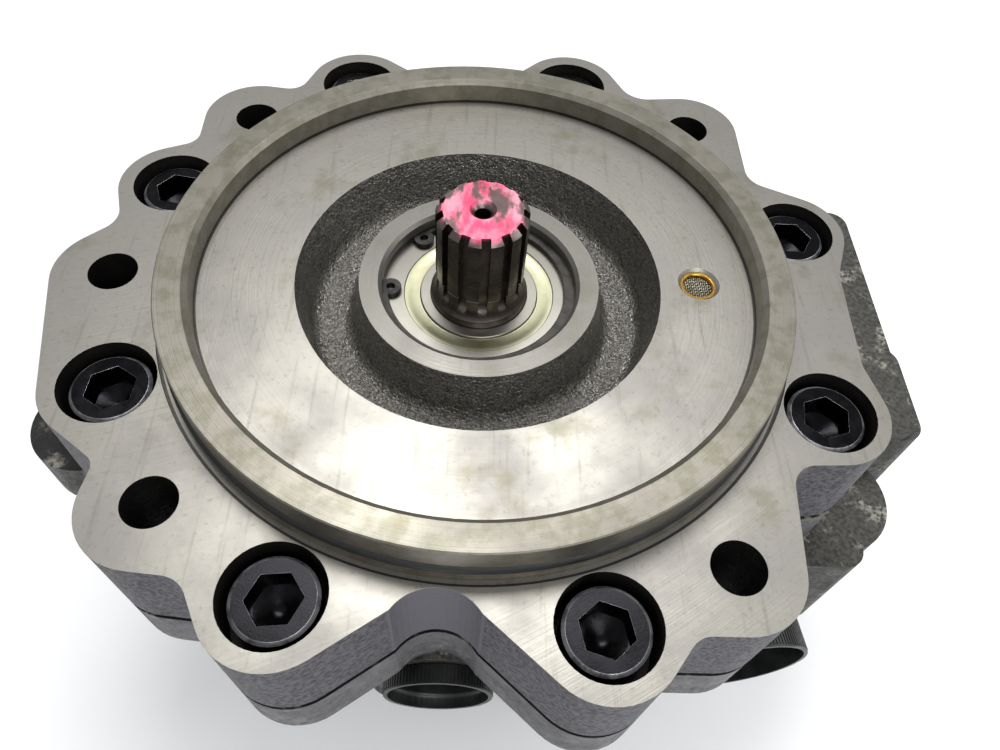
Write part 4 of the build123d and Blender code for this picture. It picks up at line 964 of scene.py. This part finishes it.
@dataclass
class PortCap:
    """Moulded hollow cap in a port, with fine grip ribs round its skirt."""

    node: str
    body: str
    radius: float
    face: tuple[float, float, float]
    out: tuple[float, float, float]
    skirt: tuple[float, float]
    ribs: int
    rib_depth: float = 0.35 * MM
    rib_share: float = 0.5
    edge: float = 0.25 * MM

    def build(self) -> None:
        """Dress the cap and grow the ribs round it."""
        tree, given = new_tree("grip_ribs", Radius="NodeSocketFloat", Count="NodeSocketInt",
                               Rib="NodeSocketVector")
        circle = add(tree, "GeometryNodeMeshCircle", {"Vertices": given.outputs[1],
                                                      "Radius": given.outputs[0]})
        outward = add(tree, "GeometryNodeInputPosition")
        turn = add(tree, "FunctionNodeAlignRotationToVector", {"Vector": outward}, axis="X")
        rib = add(tree, "GeometryNodeMeshCube", {"Size": given.outputs[2]})
        ribs = add(tree, "GeometryNodeInstanceOnPoints", {"Points": circle, "Instance": rib,
                                                          "Rotation": turn})
        close_tree(tree, ribs, MOULDED_POLYETHYLENE)
        low, high = self.skirt
        pitch = 2 * math.pi * self.radius / self.ribs
        size = Vector((2 * self.rib_depth, self.rib_share * pitch, high - low))
        grip = grown("grip", tree, Radius=self.radius, Count=self.ribs, Rib=size)
        axis = Vector(self.out).normalized()
        place = Matrix.Translation(Vector(self.face) + axis * (low + high) / 2)
        grip.data.transform(place @ axis.to_track_quat("Z", "Y").to_matrix().to_4x4())
        cup = softened(self.node, "cup", self.edge)
        cap = joined(self.node.replace("port_cap", "plastic_cap"), cup, grip)
        dress(cap, MOULDED_POLYETHYLENE, self.body, self.node)


@dataclass
class LowerCastings:
    """Main housing, rear cover and the valves and screws in them."""

    casting_edge: float = 0.8 * MM
    screw_edge: float = 0.3 * MM
    valve_edge: float = 0.4 * MM
    plug_edge: float = 0.3 * MM

    def build(self) -> None:
        """Dress the lower castings."""
        dress(softened("main_housing", "housing_casting", self.casting_edge), SAND_CAST_IRON, "housing",
              "main_housing")
        dress(softened("rear_cover", "cover_casting", self.casting_edge), OILED_CAST_IRON, "housing",
              "rear_cover")
        dress(softened("rear_cover_screws", "cover_screws", self.screw_edge), BLACK_OXIDE_STEEL, "housing",
              "rear_cover_screws")
        for side in ("left", "right"):
            body, plug = "relief_body_" + side, "check_plug_" + side
            dress(softened(body, "relief_cartridge_" + side, self.valve_edge), ZINC_PLATED_VALVE, "housing",
                  body)
            dress(softened(plug, "check_valve_plug_" + side, self.plug_edge), ZINC_PLATED_VALVE, "housing",
                  plug)


@dataclass(frozen=True)
class WorkingSpring:
    """A spring inside, listed with its joint, seat, top and travel."""

    node: str
    joint: str
    seat: tuple[float, float, float]
    top: tuple[float, float, float]
    travel: float

    def build(self) -> None:
        """Dress the spring and give it its own mesh."""
        spring = dress(softened(self.node, "working_" + self.node), OILED_SPRING_STEEL, "housing",
                       self.node)
        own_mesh(spring)


@dataclass
class SpringSet:
    """The springs of the brake, the relief valves and the make-up check valves."""

    disc_seat: float = -171.0 * MM
    disc_top: float = -155.6 * MM
    brake_travel: float = 3.0 * MM
    relief_seat: float = 128.0 * MM
    relief_top: float = 102.0 * MM
    relief_level: float = -204.0 * MM
    relief_travel: float = 3.0 * MM
    check_place: tuple[float, float] = (44.0 * MM, -58.0 * MM)
    check_seat: float = -217.0 * MM
    check_top: float = -191.3 * MM
    check_travel: float = 4.0 * MM

    def build(self) -> None:
        """Dress each spring, listed with the name of its joint."""
        WorkingSpring("brake_disc_springs", "brake_release", (0.0, 0.0, self.disc_seat),
                      (0.0, 0.0, self.disc_top), self.brake_travel).build()
        across, back = self.check_place
        for side, hand in (("left", -1.0), ("right", 1.0)):
            WorkingSpring("relief_spring_" + side, "relief_lift_" + side,
                          (hand * self.relief_seat, 0.0, self.relief_level),
                          (hand * self.relief_top, 0.0, self.relief_level), self.relief_travel).build()
            WorkingSpring("check_spring_" + side, "check_lift_" + side,
                          (hand * across, back, self.check_seat),
                          (hand * across, back, self.check_top), self.check_travel).build()


@dataclass
class InnerWorks:
    """Parts inside the casings, which keep their CAD shapes."""

    finishes: dict[str, Finish] = field(default_factory=lambda: {
        "dowel_pins": GROUND_STEEL, "casing_seal": NITRILE_RUBBER, "rear_seal": NITRILE_RUBBER,
        "bearing_balls": GROUND_BEARING_STEEL, "bearing_cage": GROUND_STEEL, "shaft_seal": NITRILE_RUBBER,
        "swash_plate": GROUND_STEEL, "cylinder_block": TURNED_STEEL, "retainer_plate": GROUND_STEEL,
        "ball_guide": GROUND_STEEL, "centre_spring": OILED_SPRING_STEEL, "valve_plate": LEADED_BRONZE,
        "rear_bearing": GROUND_BEARING_STEEL, "friction_plates": SINTERED_LINING,
        "separator_plates": GROUND_STEEL,
        "brake_piston": TURNED_STEEL, "brake_seals": NITRILE_RUBBER,
        "slippers": LEADED_BRONZE,
    })
    pistons: int = 9

    def build(self) -> None:
        """Give each inner node its finish."""
        finishes = dict(self.finishes)
        for number in range(1, self.pistons + 1):
            finishes[f"piston_{number}"] = GROUND_STEEL
        for side in ("left", "right"):
            finishes["relief_poppet_" + side] = GROUND_STEEL
            finishes["check_poppet_" + side] = GROUND_STEEL
        for node, finish in finishes.items():
            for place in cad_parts[node].material_slots:
                place.material = material_of(finish)
            log.info("%s: %s", node, finish.name)


@dataclass(frozen=True)
class SoftBox:
    """One soft light aimed at the middle of the flange."""

    name: str
    place: tuple[float, float, float]
    size: tuple[float, float]
    power: float

    def build(self) -> None:
        """Hang the light."""
        lamp = bpy.data.lights.new(self.name, "AREA")
        lamp.shape = "RECTANGLE"
        lamp.size, lamp.size_y = self.size
        lamp.energy = self.power
        holder = bpy.data.objects.new(self.name, lamp)
        holder.location = self.place
        holder.rotation_euler = (-Vector(self.place)).to_track_quat("-Z", "Y").to_euler()
        bpy.context.scene.collection.objects.link(holder)


@dataclass
class Studio:
    """Pale floor, soft lights and the camera."""

    floor_level: float = -0.231
    floor_half: float = 3.0
    floor_cloud_mm: float = 220.0
    floor_tints: tuple[str, str] = ("f8f9fa", "fdfdfd")
    floor_roughness: float = 0.55
    lights: tuple[SoftBox, ...] = (
        SoftBox("key_light", (-0.02, 0.46, 1.2), (0.8, 0.45), 13.5),
        SoftBox("front_light", (0.35, -0.95, 0.85), (0.9, 0.5), 8.0),
        SoftBox("right_light", (1.1, 0.1, 0.6), (0.6, 0.6), 4.0),
    )
    room_colour: str = "f3f5f8"
    room_strength: float = 0.56
    eye: tuple[float, float, float] = (-4.74 * MM, -219.03 * MM, 250.52 * MM)
    pan: float = 0.077864
    tilt: float = 0.961217
    roll: float = 0.100489
    lens: float = 28.62

    def build(self) -> None:
        """Set up the floor, the lights and the camera."""
        self.floor()
        for box in self.lights:
            box.build()
        world = bpy.data.worlds.new("soft_room")
        world.use_nodes = True
        world.node_tree.nodes["Background"].inputs[0].default_value = linear(self.room_colour)
        world.node_tree.nodes["Background"].inputs[1].default_value = self.room_strength
        bpy.context.scene.world = world
        bpy.context.scene.view_settings.view_transform = "Standard"
        self.camera()

    def floor(self) -> None:
        """Lay a pale sheet under the motor."""
        mesh = bpy.data.meshes.new("pale_floor")
        corners = [(x * self.floor_half, y * self.floor_half, self.floor_level)
                   for x, y in ((-1, -1), (1, -1), (1, 1), (-1, 1))]
        mesh.from_pydata(corners, [], [(0, 1, 2, 3)])
        sheet = link("pale_floor", mesh)
        material = bpy.data.materials.new("white_laminate")
        material.use_nodes = True
        tree = material.node_tree
        place = add(tree, COORDINATES, out="Object")
        cloudy = clouds(tree, place, self.floor_cloud_mm, band=(0.3, 0.7))
        tone = blend(tree, cloudy, *self.floor_tints)
        tree.links.new(tone, tree.nodes["Principled BSDF"].inputs["Base Color"])
        tree.nodes["Principled BSDF"].inputs["Roughness"].default_value = self.floor_roughness
        sheet.data.materials.append(material)

    def camera(self) -> None:
        """Stand the camera where the photograph was taken."""
        level = math.cos(self.tilt)
        forward = Vector((math.sin(self.pan) * level, math.cos(self.pan) * level, -math.sin(self.tilt)))
        level_right = Vector((math.cos(self.pan), -math.sin(self.pan), 0.0))
        level_up = level_right.cross(forward)
        right = math.cos(self.roll) * level_right + math.sin(self.roll) * level_up
        up = -math.sin(self.roll) * level_right + math.cos(self.roll) * level_up
        lens = bpy.data.cameras.new("camera")
        lens.lens = self.lens
        lens.sensor_width = 36.0
        lens.clip_start = 0.01
        holder = bpy.data.objects.new("camera", lens)
        turn = Matrix((right, up, -forward)).transposed().to_4x4()
        holder.matrix_world = Matrix.Translation(self.eye) @ turn
        bpy.context.scene.collection.objects.link(holder)
        bpy.context.scene.camera = holder


def main() -> None:
    """Build the motor's pieces and the studio."""
    logging.basicConfig(level=logging.INFO, format="%(name)s %(message)s")
    large_yaw = math.radians(8.0)
    FrontCasing().build()
    ShaftBearing().build()
    VentScreen().build()
    PortCap(node="port_cap_small", body="small_cap", radius=22.8 * MM,
            face=(-11 * MM, -132 * MM, -100 * MM), out=(0.0, -1.0, 0.0),
            skirt=(0.6 * MM, 7.2 * MM), ribs=90).build()
    PortCap(node="port_cap_large", body="large_cap", radius=29.3 * MM,
            face=(118 * MM, -98.3 * MM, -104.5 * MM), out=(math.sin(large_yaw), -math.cos(large_yaw), 0.0),
            skirt=(0.8 * MM, 25.0 * MM), ribs=120).build()
    LowerCastings().build()
    SpringSet().build()
    InnerWorks().build()
    Studio().build()


if __name__ == "__main__":
    main()
